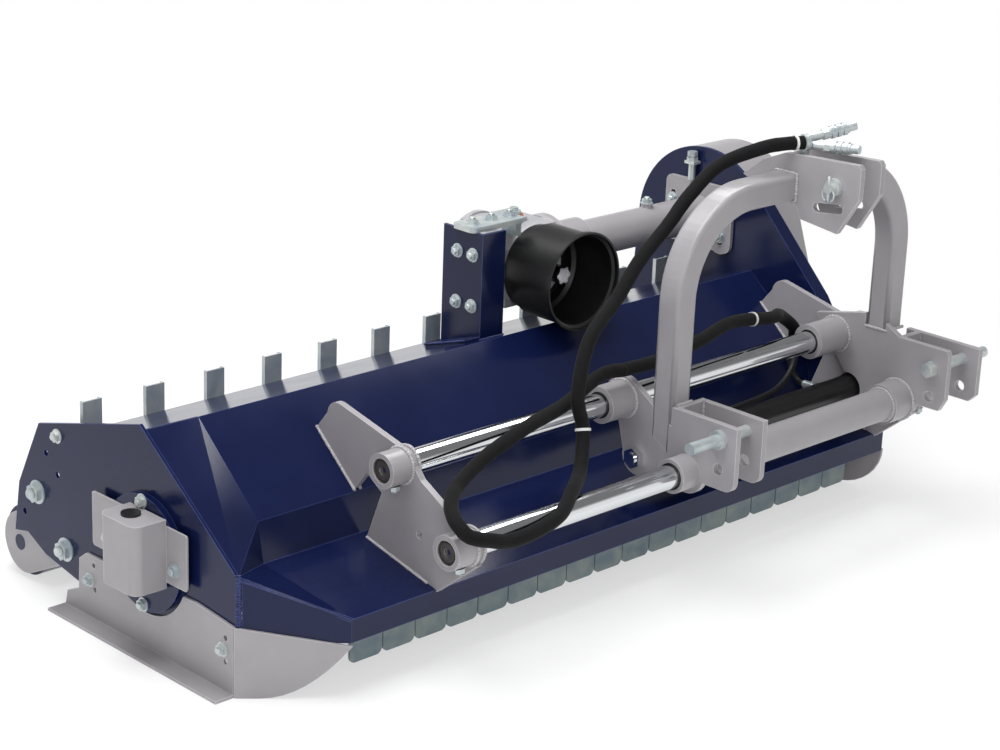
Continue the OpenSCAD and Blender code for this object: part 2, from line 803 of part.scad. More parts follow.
module bracket_bolts() {
    slab(bracket_side_x - 30, 70)
        for (y = [drive_y - 98, drive_y - 56], z = [drive_z - 40, drive_z + 60]) translate([y, z]) children();
}

module gearbox_plugs() {
    color(zinc) {
        rod_z(drive_z + 84, drive_z + 94, gearbox_x + 14, drive_y, 14);
        hex_z(drive_z + 94, drive_z + 100, gearbox_x + 14, drive_y, 9);
    }
}

bracket_front_y = drive_y - 123;

module gearbox_bracket() {
    color(navy) difference() {
        union() {
            block([bracket_side_x, bracket_front_y, crown_z - 60], [arm_x0, bracket_front_y + 107, bracket_top_z]);
            block([bracket_side_x, bracket_front_y, crown_z - 60], [bracket_side_x + 60, bracket_front_y + 6, bracket_top_z]);
            slab(bracket_side_x - 40, 40) translate([bracket_front_y, 0])
                polygon([[0, hood_top_z(bracket_front_y)], [0, hood_top_z(bracket_front_y) + 6],
                    [107, hood_top_z(bracket_front_y + 107) + 6], [107, hood_top_z(bracket_front_y + 107)]]);
        }
        slab(bracket_side_x - 100, 300) under_hood();
        bracket_bolts() circle(bolt_r + bolt_gap);
    }
}

module gearbox_strap() {
    x1 = gearbox_x - 58;
    color(zinc) {
        translate([0, 0, bracket_top_z]) linear_extrude(10)
            round_rect([bracket_side_x - 10, drive_y - 106], [x1, drive_y - 46], 12);
        for (x = [bracket_side_x + 16, bracket_side_x + 66, x1 - 16]) {
            hex_z(bracket_top_z + 10, bracket_top_z + 18, x, drive_y - 76, 12);
        }
        for (y = [drive_y - 98, drive_y - 56], z = [drive_z - 40, drive_z + 60]) {
            hex_x(bracket_side_x - 8, bracket_side_x, y, z, 11);
            rod_x(bracket_side_x - 12, arm_x0 + 20, y, z, bolt_r);
        }
        block([gearbox_x - 74, drive_y - 95, drive_z + 76], [x1 - 2, drive_y - 57, bracket_top_z]);
    }
}

module pto_guard() {
    depth = gearbox_front_y - guard_mouth_y;
    wall = 4;
    rim = 6;
    color(black) translate([gearbox_x, guard_mouth_y, drive_z]) rotate([-90, 0, 0]) rotate_extrude()
        polygon([[guard_r + rim, 0], [guard_r + rim, 9], [guard_r, 13], [guard_r, depth - 26], [guard_r - 7, depth - 20],
            [guard_r - 7, depth], [60, depth], [60, depth - wall], [guard_r - 7 - wall, depth - wall],
            [guard_r - 7 - wall, depth - 22], [guard_r - wall, depth - 28], [guard_r - wall, 11],
            [guard_r + rim - wall, 8], [guard_r + rim - wall, 0]]);
}

module pto_shaft() {
    y0 = drive_y - 156;
    color(chrome) difference() {
        rod_y(y0, drive_y - 45, gearbox_x, drive_z, spline_r);
        for (a = [0 : 60 : 300]) translate([gearbox_x, 0, drive_z]) rotate([0, a, 0])
            block([-4.6, y0 - over, spline_r - 3], [4.6, y0 + 55, spline_r + 5]);
        translate([gearbox_x, y0 + 24, drive_z]) rotate([-90, 0, 0]) rotate_extrude()
            translate([spline_r, 0]) circle(3.4);
    }
}

tube_x0 = gearbox_right_x;

module drive_tube() {
    color(gray) difference() {
        union() {
            rod_x(tube_x0, tube_x0 + 14, drive_y, drive_z, gearbox_r);
            rod_x(tube_x0, tube_x0 + 104, drive_y, drive_z, tube_r + 10);
            rod_x(tube_x0, tensioner_x0, drive_y, drive_z, tube_r);
            rod_z(drive_z, drive_z + tube_r + 8, gearbox_x + 403, drive_y, 12);
            rod_y(drive_y - tube_r - 7, drive_y, gearbox_x + 401, drive_z - 12, 11);
        }
        rod_x(tube_x0 - over, deck_w, drive_y, drive_z, tube_r - tube_wall);
    }
}

module drive_shaft() {
    color(chrome) rod_x(gearbox_x + 24, pulley_x1 + 4, drive_y, drive_z, drive_r);
}

tensioner_x0 = deck_in - 8;

module tensioner_bolts() {
    for (y = [drive_y - 64, drive_y + 73], z = [drive_z - 38, drive_z + 18]) translate([y, z]) children();
}

module tensioner_plate() {
    color(gray) slab(tensioner_x0, deck_in - tensioner_x0) difference() {
        union() {
            round_rect([159, 414], [345, 555], 16);
            translate([188, 438]) circle(28);
        }
        for (y = [drive_y - 64, drive_y + 73], z = [drive_z - 38, drive_z + 18])
            round_link([y, z - 12], bolt_r + 1, [y, z + 12], bolt_r + 1);
        translate([drive_y, drive_z]) circle(drive_r + fit_gap);
    }
}

module tensioner_bolt() {
    color(zinc) {
        block([deck_in - 22, 260, 590], [deck_in, 286, 596]);
        rod_z(555, 616, deck_in - 12, 273, 7);
        hex_z(596, 604, deck_in - 12, 273, 12);
        hex_z(606, 616, deck_in - 12, 273, 11);
        for (y = [drive_y - 64, drive_y + 73], z = [drive_z - 38, drive_z + 18]) {
            rod_x(tensioner_x0 - 8, deck_w + 8, y, z, bolt_r);
            hex_x(tensioner_x0 - 8, tensioner_x0, y, z, 11);
        }
    }
}

// Slide frame on the hood

boss_x0 = bracket_x - 45;
right_bracket_x = bracket_x + bracket_span - bracket_t;
right_boss_x1 = right_bracket_x + bracket_t + 44;

module bracket_outline() {
    difference() {
        union() {
            polygon([[46, 300], [44, 343], [16, 378], [-15.9, 400.3], [-175, 365], [-198, 350], [-223, 322], [-286, 289],
                [-310, 261], [lower_y - 26, lower_z - 28], [-250, 120], [-90, 120], [-90, 176], [-127, 271],
                [-88, 296], [-60, 262], [-40, 240]]);
            translate([-10, 374]) circle(27);
            translate([upper_y, upper_z]) circle(boss_r);
            translate([lower_y, lower_z]) circle(boss_r);
        }
        under_hood();
        translate([-224, 226]) circle(8);
    }
}

module shaft_bracket(x, b0, b1) {
    difference() {
        union() {
            slab(x, bracket_t) bracket_outline();
            rod_x(b0, b1, upper_y, upper_z, boss_r);
            rod_x(b0, b1, lower_y, lower_z, boss_r);
        }
        rod_x(b0 - over, b1 + over, upper_y, upper_z, shaft_r + fit_gap);
        rod_x(b0 - over, b1 + over, lower_y, lower_z, shaft_r + fit_gap);
    }
}

module shaft_bracket_left() {
    color(gray) shaft_bracket(bracket_x, boss_x0, bracket_x + bracket_t);
}

module shaft_bracket_right() {
    color(gray) difference() {
        shaft_bracket(right_bracket_x, right_bracket_x, right_boss_x1);
        rod_x(right_bracket_x - over, right_bracket_x + bracket_t + over, cylinder_y, cylinder_z, 12 + bolt_gap);
    }
}

cap_t = 4;

module slide_shafts() {
    color(chrome) {
        rod_x(boss_x0 + cap_t + 2, right_boss_x1 - cap_t - 2, upper_y, upper_z, shaft_r);
        rod_x(boss_x0 + cap_t + 2, right_boss_x1 - cap_t - 2, lower_y, lower_z, shaft_r);
    }
}

module shaft_end_caps() {
    color(black) for (p = [[upper_y, upper_z], [lower_y, lower_z]], x = [boss_x0 + 2, right_boss_x1 - 2 - cap_t])
        difference() {
            rod_x(x, x + cap_t, p[0], p[1], shaft_r);
            rod_x(x - over, x + cap_t + over, p[0], p[1], 6);
        }
}

// Headstock

cylinder_y = -215;
cylinder_z = 232;
leg_left_x0 = arch_x - arch_s / 2;
leg_right_x0 = arch_x + arch_span - arch_s / 2;
leg_front_y = arch_y - arch_s / 2;
leg_back_y = arch_y + arch_s / 2;
left_plate_x = leg_left_x0;
right_plate_x = leg_right_x0 - 2;
sleeve_left_x = left_plate_x - 63;
lower_sleeve_x0 = left_plate_x - 42;
right_leg_foot_z = 370;

// Square tube along the arch, as an outline with a given half width
module arch_solid(half, low) {
    x0 = arch_x;
    x1 = arch_x + arch_span;
    bend_z = arch_z - arch_bend_r;
    for (x = [x0, x1]) block([x - half, arch_y - half, low], [x + half, arch_y + half, bend_z]);
    block([x0 + arch_bend_r, arch_y - half, arch_z - half], [x1 - arch_bend_r, arch_y + half, arch_z + half]);
    for (s = [0, 1]) translate([s == 0 ? x0 + arch_bend_r : x1 - arch_bend_r, arch_y, bend_z])
        rotate([90, 0, 0]) rotate([0, 0, s == 0 ? 90 : 0]) rotate_extrude(angle = 90)
            translate([arch_bend_r - half, -half]) square(2 * half);
}

module hitch_arch() {
    color(gray) difference() {
        arch_solid(arch_s / 2, 230);
        arch_solid(arch_s / 2 - arch_wall, 229);
        block([leg_right_x0 - over, leg_front_y - over, 0], [leg_right_x0 + arch_s + over, leg_back_y + over, right_leg_foot_z]);
        rod_x(leg_left_x0 - over, leg_left_x0 + arch_s + over, lower_y, lower_z, lower_sleeve_r);
        slab(leg_left_x0 - over, arch_s + 2 * over)
            polygon([[-400, 200], [leg_front_y - 2, 257], [leg_back_y + 2, 291], [-200, 200]]);
        left_plate(left_plate_x - over, head_t + over);
    }
}

module left_plate(x, t) {
    link_x(x, t, [upper_y, upper_z], upper_sleeve_r + 8, [lower_y, lower_z], lower_sleeve_r + 9);
    rod_x(x, x + t, cylinder_y, cylinder_z, 34);
    slab(x, t) polygon([[upper_y + 12, upper_z - 30], [cylinder_y + 33, cylinder_z + 6], [cylinder_y - 6, cylinder_z - 33],
        [lower_y + 30, lower_z - 30], [lower_y + 20, lower_z + 60]]);
    slab(x, t) lug_outline(229);
}

// Hitch lug: a plate with a rounded lower front corner
module lug_outline(low) {
    top = hitch_z + 28;
    front = lug_front_y;
    translate([front + 20, low + 20]) circle(20);
    polygon([[leg_front_y, top], [front, top], [front, low + 20], [front + 20, low], [leg_front_y, low]]);
}

module hitch_holes() {
    for (z = [hitch_z, hitch_z - hitch_drop]) translate([hitch_y, z]) circle(hitch_pin_r + fit_gap);
}

module sleeve_holes() {
    translate([upper_y, upper_z]) circle(upper_sleeve_r);
    translate([lower_y, lower_z]) circle(lower_sleeve_r);
}

module slide_plate_left() {
    color(gray) difference() {
        left_plate(left_plate_x, head_t);
        slab(left_plate_x - over, head_t + 2 * over) {
            sleeve_holes();
            hitch_holes();
            translate([cylinder_y, cylinder_z]) circle(rod_r - 3 + fit_gap);
        }
    }
}

module slide_plate_right() {
    color(gray) slab(right_plate_x, head_t) difference() {
        union() {
            polygon([[-124, 369], [-267, 402], [-329, 367], [lug_front_y + 5, 367], [lug_front_y, 358],
                [lug_front_y, 267], [lug_front_y + 13, 243], [-372, 242], [-337, 200], [-240, 215], [-187, 286]]);
            translate([upper_y, upper_z]) circle(upper_sleeve_r + 8);
            translate([lower_y, lower_z]) circle(lower_sleeve_r + 9);
        }
        sleeve_holes();
        hitch_holes();
        round_link([cylinder_y, cylinder_z], barrel_r + 6, [cylinder_y + 90, cylinder_z], barrel_r + 6);
        translate([leg_front_y, right_leg_foot_z]) square([arch_s, 200]);
    }
}

left_lug_x = left_plate_x + 72;
right_lug_x = right_plate_x + 104;

module hitch_lugs() {
    color(gray) {
        slab(left_lug_x, head_t) difference() {
            lug_outline(229);
            translate([lower_y, lower_z]) circle(lower_sleeve_r);
            hitch_holes();
        }
        block([left_plate_x + head_t, leg_front_y - head_t, 290], [left_lug_x, leg_front_y, hitch_z + 28]);
        slab(right_lug_x, head_t) difference() {
            polygon([[leg_front_y + 3, 291], [leg_front_y + 23, 302], [leg_front_y + 23, hitch_z + 28],
                [lug_front_y, hitch_z + 28],
                [lug_front_y, 255], [lug_front_y + 15, 240], [lower_y - boss_r - 12, 240], [lower_y - boss_r - 8, 291]]);
            hitch_holes();
        }
        block([right_plate_x + head_t, leg_front_y - head_t, 291], [right_lug_x, leg_front_y, hitch_z + 28]);
    }
}

bush_t = 3;

module sleeve(x0, x1, y, z, r) {
    difference() {
        rod_x(x0, x1, y, z, r);
        rod_x(x0 - over, x1 + over, y, z, shaft_r + bush_t + fit_gap);
    }
}

right_sleeve_x0 = right_plate_x - 89;
ring_x1 = right_plate_x + head_t + 6;

module slide_sleeves() {
    color(gray) {
        sleeve(sleeve_left_x, left_plate_x + head_t, upper_y, upper_z, upper_sleeve_r);
        sleeve(right_sleeve_x0, right_plate_x + head_t, upper_y, upper_z, upper_sleeve_r);
        sleeve(lower_sleeve_x0, ring_x1, lower_y, lower_z, lower_sleeve_r);
        sleeve(right_plate_x - 54, right_plate_x, lower_y, lower_z, lower_sleeve_r + 8);
    }
}

module bush(x0, x1, y, z) {
    difference() {
        rod_x(x0, x1, y, z, shaft_r + bush_t);
        rod_x(x0 - over, x1 + over, y, z, shaft_r + fit_gap);
    }
}

module slide_bushes() {
    color(black) {
        bush(sleeve_left_x - 2, left_plate_x + head_t, upper_y, upper_z);
        bush(right_sleeve_x0, right_plate_x + head_t, upper_y, upper_z);
        bush(lower_sleeve_x0 - 2, lower_sleeve_x0 + 80, lower_y, lower_z);
        bush(ring_x1 - 80, ring_x1, lower_y, lower_z);
    }
}

module lower_link_pins() {
    color(zinc) {
        rod_x(left_plate_x - 82, left_lug_x + head_t + 14, hitch_y, hitch_z, hitch_pin_r);
        rod_x(left_plate_x - 10, left_plate_x, hitch_y, hitch_z, hitch_pin_r + 7);
        hex_x(left_lug_x + head_t, left_lug_x + head_t + 12, hitch_y, hitch_z, 17);
        rod_x(right_plate_x - 16, right_lug_x + head_t + 60, hitch_y, hitch_z, hitch_pin_r);
        rod_x(right_lug_x + head_t, right_lug_x + head_t + 10, hitch_y, hitch_z, hitch_pin_r + 7);
        hex_x(right_plate_x - 14, right_plate_x, hitch_y, hitch_z, 17);
    }
}

clevis_x = arch_x + 320;
clevis_gap = 48;
top_pin_y = -383;
top_pin_z = arch_z + 20;
top_pin_r = 9.5;

module top_link_clevis() {
    z = arch_z;
    color(gray) {
        for (x = [clevis_x - clevis_gap / 2 - head_t, clevis_x + clevis_gap / 2]) slab(x, head_t) difference() {
            polygon([[-168, z + 2], [-212, z + 38], [-265, z + 61], [-432, z + 69], [-438, z + 62], [-438, z + 6],
                [-394, z - 66], [-309, z - 56], [leg_front_y, z - arch_s / 2], [leg_back_y, z - arch_s / 2]]);
            translate([leg_front_y, z - 100]) square([arch_s, 100 + arch_s / 2]);
            translate([top_pin_y, top_pin_z]) circle(top_pin_r + fit_gap);
            round_link([-345, z - 26], 9, [-395, z - 20], 9);
        }
        block([clevis_x - clevis_gap / 2, -330, z + arch_s / 2 + 14], [clevis_x + clevis_gap / 2, -250, z + arch_s / 2 + 22]);
    }
}

module top_link_pin() {
    half = clevis_gap / 2 + head_t;
    color(zinc) {
        rod_x(clevis_x - half - 22, clevis_x + half + 14, top_pin_y, top_pin_z, top_pin_r);
        rod_x(clevis_x - half - 10, clevis_x - half, top_pin_y, top_pin_z, top_pin_r + 7);
        rod_x(clevis_x + half, clevis_x + half + 8, top_pin_y, top_pin_z, top_pin_r + 6);
    }
}

// Side-shift cylinder

barrel_x0 = left_plate_x + head_t + 18;
gland_l = 40;
port_face = barrel_r + 5;

module cylinder_barrel() {
    color(black) {
        difference() {
            union() {
                rod_x(barrel_x0, right_bracket_x, cylinder_y, cylinder_z, barrel_r);
                rod_x(barrel_x0, barrel_x0 + gland_l, cylinder_y, cylinder_z, barrel_r + 3);
                rod_x(right_bracket_x - 24, right_bracket_x, cylinder_y, cylinder_z, barrel_r + 3);
                rod_x(right_bracket_x, right_bracket_x + bracket_t + 16, cylinder_y, cylinder_z, 12);
                for (x = [port_front_x, port_back_x])
                    rod_y(cylinder_y, cylinder_y + port_face, x, cylinder_z, 12);
            }
            rod_x(barrel_x0 - over, right_bracket_x - 24, cylinder_y, cylinder_z, rod_r + fit_gap);
        }
        hex_x(right_bracket_x + bracket_t, right_bracket_x + bracket_t + 14, cylinder_y, cylinder_z, 20);
    }
}

port_back_x = right_bracket_x - 80;
port_front_x = barrel_x0 + 20;

ferrule_r = 8;
elbow_y = cylinder_y + 60;
straight_y = cylinder_y + 70;
elbow_end_x = port_front_x + 59;

// A straight fitting at the fixed end and an elbow at the rod end
module cylinder_fittings() {
    face = cylinder_y + port_face;
    color(zinc) {
        for (x = [port_front_x, port_back_x]) hex_y(face, face + 12, x, cylinder_z, 11);
        rod_y(face, straight_y, port_back_x, cylinder_z, ferrule_r);
        rod_y(face, elbow_y, port_front_x, cylinder_z, ferrule_r);
        translate([port_front_x, elbow_y, cylinder_z]) sphere(ferrule_r);
        rod_x(port_front_x, elbow_end_x, elbow_y, cylinder_z, ferrule_r);
        hex_x(port_front_x + 18, port_front_x + 30, elbow_y, cylinder_z, 11);
    }
}

module cylinder_rod() {
    color(chrome) {
        rod_x(left_plate_x + head_t, left_plate_x + head_t + 560, cylinder_y, cylinder_z, rod_r);
        rod_x(left_plate_x - 18, left_plate_x + head_t, cylinder_y, cylinder_z, rod_r - 3);
        hex_x(left_plate_x - 14, left_plate_x, cylinder_y, cylinder_z, 20);
    }
}

// Hoses: rings stand at each point, square to the line through its neighbours

function unit(v) = v / norm(v);
function heading(p, i) = i == 0 ? unit(p[1] - p[0])
    : i == len(p) - 1 ? unit(p[i] - p[i - 1])
    : unit(unit(p[i + 1] - p[i]) + unit(p[i] - p[i - 1]));
function headings(p) = [for (i = [0 : len(p) - 1]) heading(p, i)];
function levelled(n, t) = unit(n - (n * t) * t);
function normals(t) = [for (i = 0, n = levelled([0.1, 0.2, 1], t[0]); i < len(t);
    i = i + 1, n = i < len(t) ? levelled(n, t[i]) : n) n];

module tube(p, r, sides) {
    t = headings(p);
    n = normals(t);
    last = (len(p) - 1) * sides;
    ring = [for (i = [0 : len(p) - 1], k = [0 : sides - 1])
        p[i] + r * (cos(k * 360 / sides) * n[i] + sin(k * 360 / sides) * cross(t[i], n[i]))];
    wall = [for (i = [0 : len(p) - 2], k = [0 : sides - 1]) let(a = i * sides + k, b = i * sides + (k + 1) % sides)
        each [[a, a + sides, b + sides], [a, b + sides, b]]];
    polyhedron(ring, concat([[for (k = [0 : sides - 1]) k]], [[for (k = [sides - 1 : -1 : 0]) last + k]], wall));
}

// The loop of woven sleeve rides with the headstock, up to the join in front of the left leg
hose_join = [850, -195, 401];
loop_points = [[1215, -292, 791], [1170, -274, 791], [1125, -255, 785], [1050, -222, 758], [980, -215, 711],
    [925, -215, 664], [856, -215, 611], [796, -218, 550], [713, -235, 495], [669, -255, 409], [679, -262, 344],
    [636, -300, 291], [562, -352, 284], [497, -388, 270], [428, -398, 261], [370, -398, 260], [326, -396, 272],
    [291, -385, 284], [283, -365, 300], [297, -335, 310], [325, -305, 319], [362, -280, 324], [431, -260, 343],
    [500, -250, 360], [570, -240, 372], [680, -215, 378], [790, -195, 403], hose_join];

// From the join to the belt end, where the sleeve opens above the cylinder
run_end = [1458, -105, 308];
run_points = [hose_join + [seat_gap, 0, 0], [910, -195, 399], [970, -189, 398], [1080, -180, 408], [1195, -158, 415],
    [1330, -145, 395], [1380, -122, 386], [1423, -105, 366], run_end + [0, 0, 30], run_end];

// One hose turns down to each port
back_points = [run_end + [0, hose_r, 0], run_end + [0, hose_r, -23], run_end + [-1, 0, -50],
    [1455, -122, 238], [port_back_x, straight_y + 12, cylinder_z], [port_back_x, straight_y, cylinder_z]];
front_points = [run_end - [0, hose_r, 0], run_end - [0, hose_r, 12], [1453, -116, 278], [1437, -122, 258],
    [1400, -132, 241], [1350, -142, 233], [1250, -152, 232], [1150, elbow_y, cylinder_z],
    [1050, elbow_y, cylinder_z], [elbow_end_x, elbow_y, cylinder_z]];

module hose_loop() {
    color(black) tube(loop_points, sleeve_r, 10);
}

module hose_run() {
    color(black) tube(run_points, sleeve_r, 10);
}

module cylinder_hoses() {
    color(black) {
        tube(back_points, hose_r, 8);
        tube(front_points, hose_r, 8);
    }
}

// A round bar from a point along a direction
module bar(p, d, a, b, r) {
    translate(p) rotate([0, acos(unit(d)[2]), atan2(d[1], d[0])]) translate([0, 0, a]) cylinder(h = b - a, r = r);
}

// Ferrule, nut and quick coupler with its ribs, along a direction
module coupler(p, d) {
    bar(p, d, -6, 32, ferrule_r);
    bar(p, d, 30, 42, 11, $fn = 6);
    bar(p, d, 42, 82, 10);
    for (a = [46, 58, 70]) bar(p, d, a, a + 7, 12);
    bar(p, d, 82, 98, ferrule_r);
}

// Both couplers leave the open end of the sleeve, which a ring holds on the top link plates
module hose_couplings() {
    end = loop_points[0];
    back = loop_points[1] - end;
    color(zinc) {
        difference() {
            union() {
                coupler(end + [0, 4, 6], [85, -45, 22]);
                coupler(end + [0, -6, -4], [18, -88, 6]);
            }
            bar(end, back, 0, 30, 30);
        }
        difference() {
            union() {
                bar(end, back, 2, 12, sleeve_r + 3);
                block([end[0] - 12, end[1] - 5, arch_z + arch_s / 2 + 22], [end[0] - 2, end[1] + 11, end[2] - sleeve_r]);
            }
            bar(end, back, -10, 30, sleeve_r + fit_gap);
        }
    }
}

// Front flaps

flap_rod_y = lip_y + hood_t + 12;
flap_rod_z = lip_z + 14;
flap_x0 = nose_w + 9;
flap_pitch = (deck_w - 105 - flap_x0) / flap_n;
flap_space = 2;
flap_groups = 6;

hanger_x = flap_x0 + flap_n * flap_pitch + 4;

module flap_rod() {
    color(zinc) rod_x(nose_w - 4, hanger_x + hood_t + 14, flap_rod_y, flap_rod_z, flap_rod_r);
}

module flap(x) {
    w = flap_pitch - flap_space;
    difference() {
        union() {
            rod_x(x, x + w, flap_rod_y, flap_rod_z, flap_rod_r + 4);
            translate([x, flap_rod_y + flap_t / 2, 0]) rotate([90, 0, 0]) linear_extrude(flap_t) {
                translate([0, flap_z + 12]) square([w, flap_rod_z - flap_z - 12]);
                translate([12, flap_z]) square([w - 24, 12 + over]);
                for (c = [12, w - 12]) translate([c, flap_z + 12]) circle(12);
            }
        }
        rod_x(x - over, x + w + over, flap_rod_y, flap_rod_z, flap_rod_r + fit_gap);
    }
}

module flaps(group) {
    n = flap_n / flap_groups;
    color(zinc) for (i = [0 : n - 1]) flap(flap_x0 + ((group - 1) * n + i) * flap_pitch);
}

place() end_plate_left();
place() end_plate_right();
place() hood();
place() shaft_bracket_left();
place() shaft_bracket_right();
place() slide_shafts();
place() shaft_end_caps();
place() rakes();
place() gearbox_bracket();
place() gearbox_strap();
place() gearbox_housing();
place() gearbox_plugs();
place() pto_guard();
place() drive_tube();
place() tensioner_plate();
place() tensioner_bolt();
place() belt_cover();
place() drive_belts();
place() skid_left();
place() skid_right();
place() body_bolts();
place() rotor_end_cover();
place() cover_plug();
place() rotor_bearings();
place() counter_bar();
place() flap_rod();
place() cylinder_barrel();
place() cylinder_fittings();
place() hose_run();
place() cylinder_hoses();
place() roller_arms();
place() rear_roller();
place() rotor_tube();
place() hammer_pins();
place() rotor_pulley();
place() hammers(0);  // hammers_1
place() hammers(1);  // hammers_2
place() hammers(2);  // hammers_3
place() hammers(3);  // hammers_4
place() pto_shaft();
place() drive_shaft();
place() drive_pulley();
place() hitch_arch();
place() top_link_clevis();
place() top_link_pin();
place() slide_plate_left();
place() slide_plate_right();
place() hitch_lugs();
place() slide_sleeves();
place() slide_bushes();
place() lower_link_pins();
place() cylinder_rod();
place() hose_loop();
place() hose_couplings();
place() flaps(1);  // flaps_1
place() flaps(2);  // flaps_2
place() flaps(3);  // flaps_3
place() flaps(4);  // flaps_4
place() flaps(5);  // flaps_5
place() flaps(6);  // flaps_6
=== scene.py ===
import math

import bmesh
import bpy
from mathutils import Matrix, Vector


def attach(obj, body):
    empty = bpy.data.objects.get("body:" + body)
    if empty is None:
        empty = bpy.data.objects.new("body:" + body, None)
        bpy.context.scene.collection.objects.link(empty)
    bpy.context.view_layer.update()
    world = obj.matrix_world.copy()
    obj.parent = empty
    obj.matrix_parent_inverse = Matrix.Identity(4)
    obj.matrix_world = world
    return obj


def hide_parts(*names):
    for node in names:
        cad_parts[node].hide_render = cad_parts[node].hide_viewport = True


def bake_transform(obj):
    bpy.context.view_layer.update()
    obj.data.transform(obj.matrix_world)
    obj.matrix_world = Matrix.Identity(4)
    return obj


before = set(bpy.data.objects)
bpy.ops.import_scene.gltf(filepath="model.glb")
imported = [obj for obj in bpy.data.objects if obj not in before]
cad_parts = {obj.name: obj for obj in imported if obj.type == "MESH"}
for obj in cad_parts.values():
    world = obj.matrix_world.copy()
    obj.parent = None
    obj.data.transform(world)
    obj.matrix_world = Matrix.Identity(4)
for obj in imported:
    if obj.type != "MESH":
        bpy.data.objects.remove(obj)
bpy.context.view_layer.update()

# Camera
# A long lens looks from the tractor's side towards the bearing end and a little down,
# so that the far end of the machine stays nearly as large as the near one.
camera_turn = math.radians(-44.97)
camera_rise = math.radians(18.77)
camera_roll = math.radians(2.19)
camera_place = (-2.98428, -2.96605, 1.76316)
away = Vector((math.sin(camera_turn) * math.cos(camera_rise), -math.cos(camera_turn) * math.cos(camera_rise),
    math.sin(camera_rise)))
level = Vector((math.cos(camera_turn), math.sin(camera_turn), 0))
upright = away.cross(level)
right = math.cos(camera_roll) * level + math.sin(camera_roll) * upright
up = math.cos(camera_roll) * upright - math.sin(camera_roll) * level
lens = bpy.data.cameras.new("photo_camera")
lens.lens = 85.2
lens.sensor_width = 36
camera = bpy.data.objects.new("photo_camera", lens)
camera.matrix_world = Matrix.Translation(camera_place) @ Matrix((right, up, away)).transposed().to_4x4()
bpy.context.collection.objects.link(camera)
bpy.context.scene.camera = camera

# Woven sleeve
# Black textile tube pulled over both hydraulic hoses. It hangs in a loop beside the slide,
# so that the headstock can travel, and bunches into shallow folds where it bends.
drawing_x = 0.805
drawing_y = 0.0535
sleeve_r = 0.013


def at(x, y, z):
    """A point of the machine's drawing, which counts from the bearing end in millimetres, in the frame."""
    return Vector((x / 1000 - drawing_x, y / 1000 - drawing_y, z / 1000))


loop_route = [at(*p) for p in (
    (1215, -292, 791), (1170, -274, 791), (1125, -255, 785), (1050, -222, 758), (980, -215, 711),
    (925, -215, 664), (856, -215, 611), (796, -218, 550), (713, -235, 495), (669, -255, 409),
    (679, -262, 344), (636, -300, 291), (562, -352, 284), (497, -388, 270), (428, -398, 261),
    (370, -398, 260), (326, -396, 272), (291, -385, 284), (283, -365, 300), (297, -335, 310),
    (325, -305, 319), (362, -280, 324), (431, -260, 343), (500, -250, 360), (570, -240, 372),
    (680, -215, 378), (790, -195, 403), (850, -195, 401))]
run_route = [at(*p) for p in (
    (850.3, -195, 401), (910, -195, 399), (970, -189, 398), (1080, -180, 408), (1195, -158, 415),
    (1330, -145, 395), (1380, -122, 386), (1423, -105, 366), (1458, -105, 338), (1458, -105, 308))]


def flowing(route, step):
    """Points about one step apart on a smooth curve through all the points of a route."""
    fine = [route[0]]
    for i in range(len(route) - 1):
        a = route[max(i - 1, 0)]
        b, c = route[i], route[i + 1]
        d = route[min(i + 2, len(route) - 1)]
        count = max(1, round((c - b).length / step))
        for k in range(1, count + 1):
            t = k / count
            fine.append(0.5 * (2 * b + (c - a) * t + (2 * a - 5 * b + 4 * c - d) * t * t
                + (3 * b - a - 3 * c + d) * t * t * t))
    return fine


def new_piece(name, mesh, finish):
    """A finished piece at the frame's origin, in one finish."""
    piece = bpy.data.objects.new(name, mesh)
    bpy.context.collection.objects.link(piece)
    mesh.materials.append(finish)
    return piece


def tube(name, path, radius, sides, finish, swell=None):
    """A closed round tube along a path. Its UV map is in metres: round the tube, then along it."""
    form = bmesh.new()
    wrap = form.loops.layers.uv.new("wrap")
    last = len(path) - 1
    heading = [(path[min(i + 1, last)] - path[max(i - 1, 0)]).normalized() for i in range(last + 1)]
    side = heading[0].orthogonal().normalized()
    rings, along = [], [0.0]
    for i, point in enumerate(path):
        side = (side - side.dot(heading[i]) * heading[i]).normalized()
        other = heading[i].cross(side)
        if i:
            along.append(along[-1] + (point - path[i - 1]).length)
        ring = []
        for k in range(sides):
            turn = 2 * math.pi * k / sides
            r = radius * (swell(along[-1], turn) if swell else 1)
            ring.append(form.verts.new(point + r * (math.cos(turn) * side + math.sin(turn) * other)))
        rings.append(ring)
    for i in range(last):
        for k in range(sides):
            n = (k + 1) % sides
            face = form.faces.new((rings[i][k], rings[i][n], rings[i + 1][n], rings[i + 1][k]))
            face.smooth = True
            for loop, (u, v) in zip(face.loops, ((k, i), (k + 1, i), (k + 1, i + 1), (k, i + 1))):
                loop[wrap].uv = (u * 2 * math.pi * radius / sides, along[v])
    form.faces.new(reversed(rings[0]))
    form.faces.new(rings[-1])
    mesh = bpy.data.meshes.new(name)
    form.to_mesh(mesh)
    form.free()
    return new_piece(name, mesh, finish)


def add(tree, kind, settings=None, feeds=None):
    """A node of a tree, with its settings and with the outputs that feed it."""
    node = tree.nodes.new(kind)
    for name, value in (settings or {}).items():
        if isinstance(name, int) or name in node.inputs:
            node.inputs[name].default_value = value
        else:
            setattr(node, name, value)
    for name, source in (feeds or {}).items():
        tree.links.new(source, node.inputs[name])
    return node


def colour(code):
    """A colour from its sRGB hex code, in linear light."""
    parts = [int(code[i:i + 2], 16) / 255 for i in (1, 3, 5)]
    return tuple(c / 12.92 if c <= 0.04045 else ((c + 0.055) / 1.055) ** 2.4 for c in parts) + (1,)


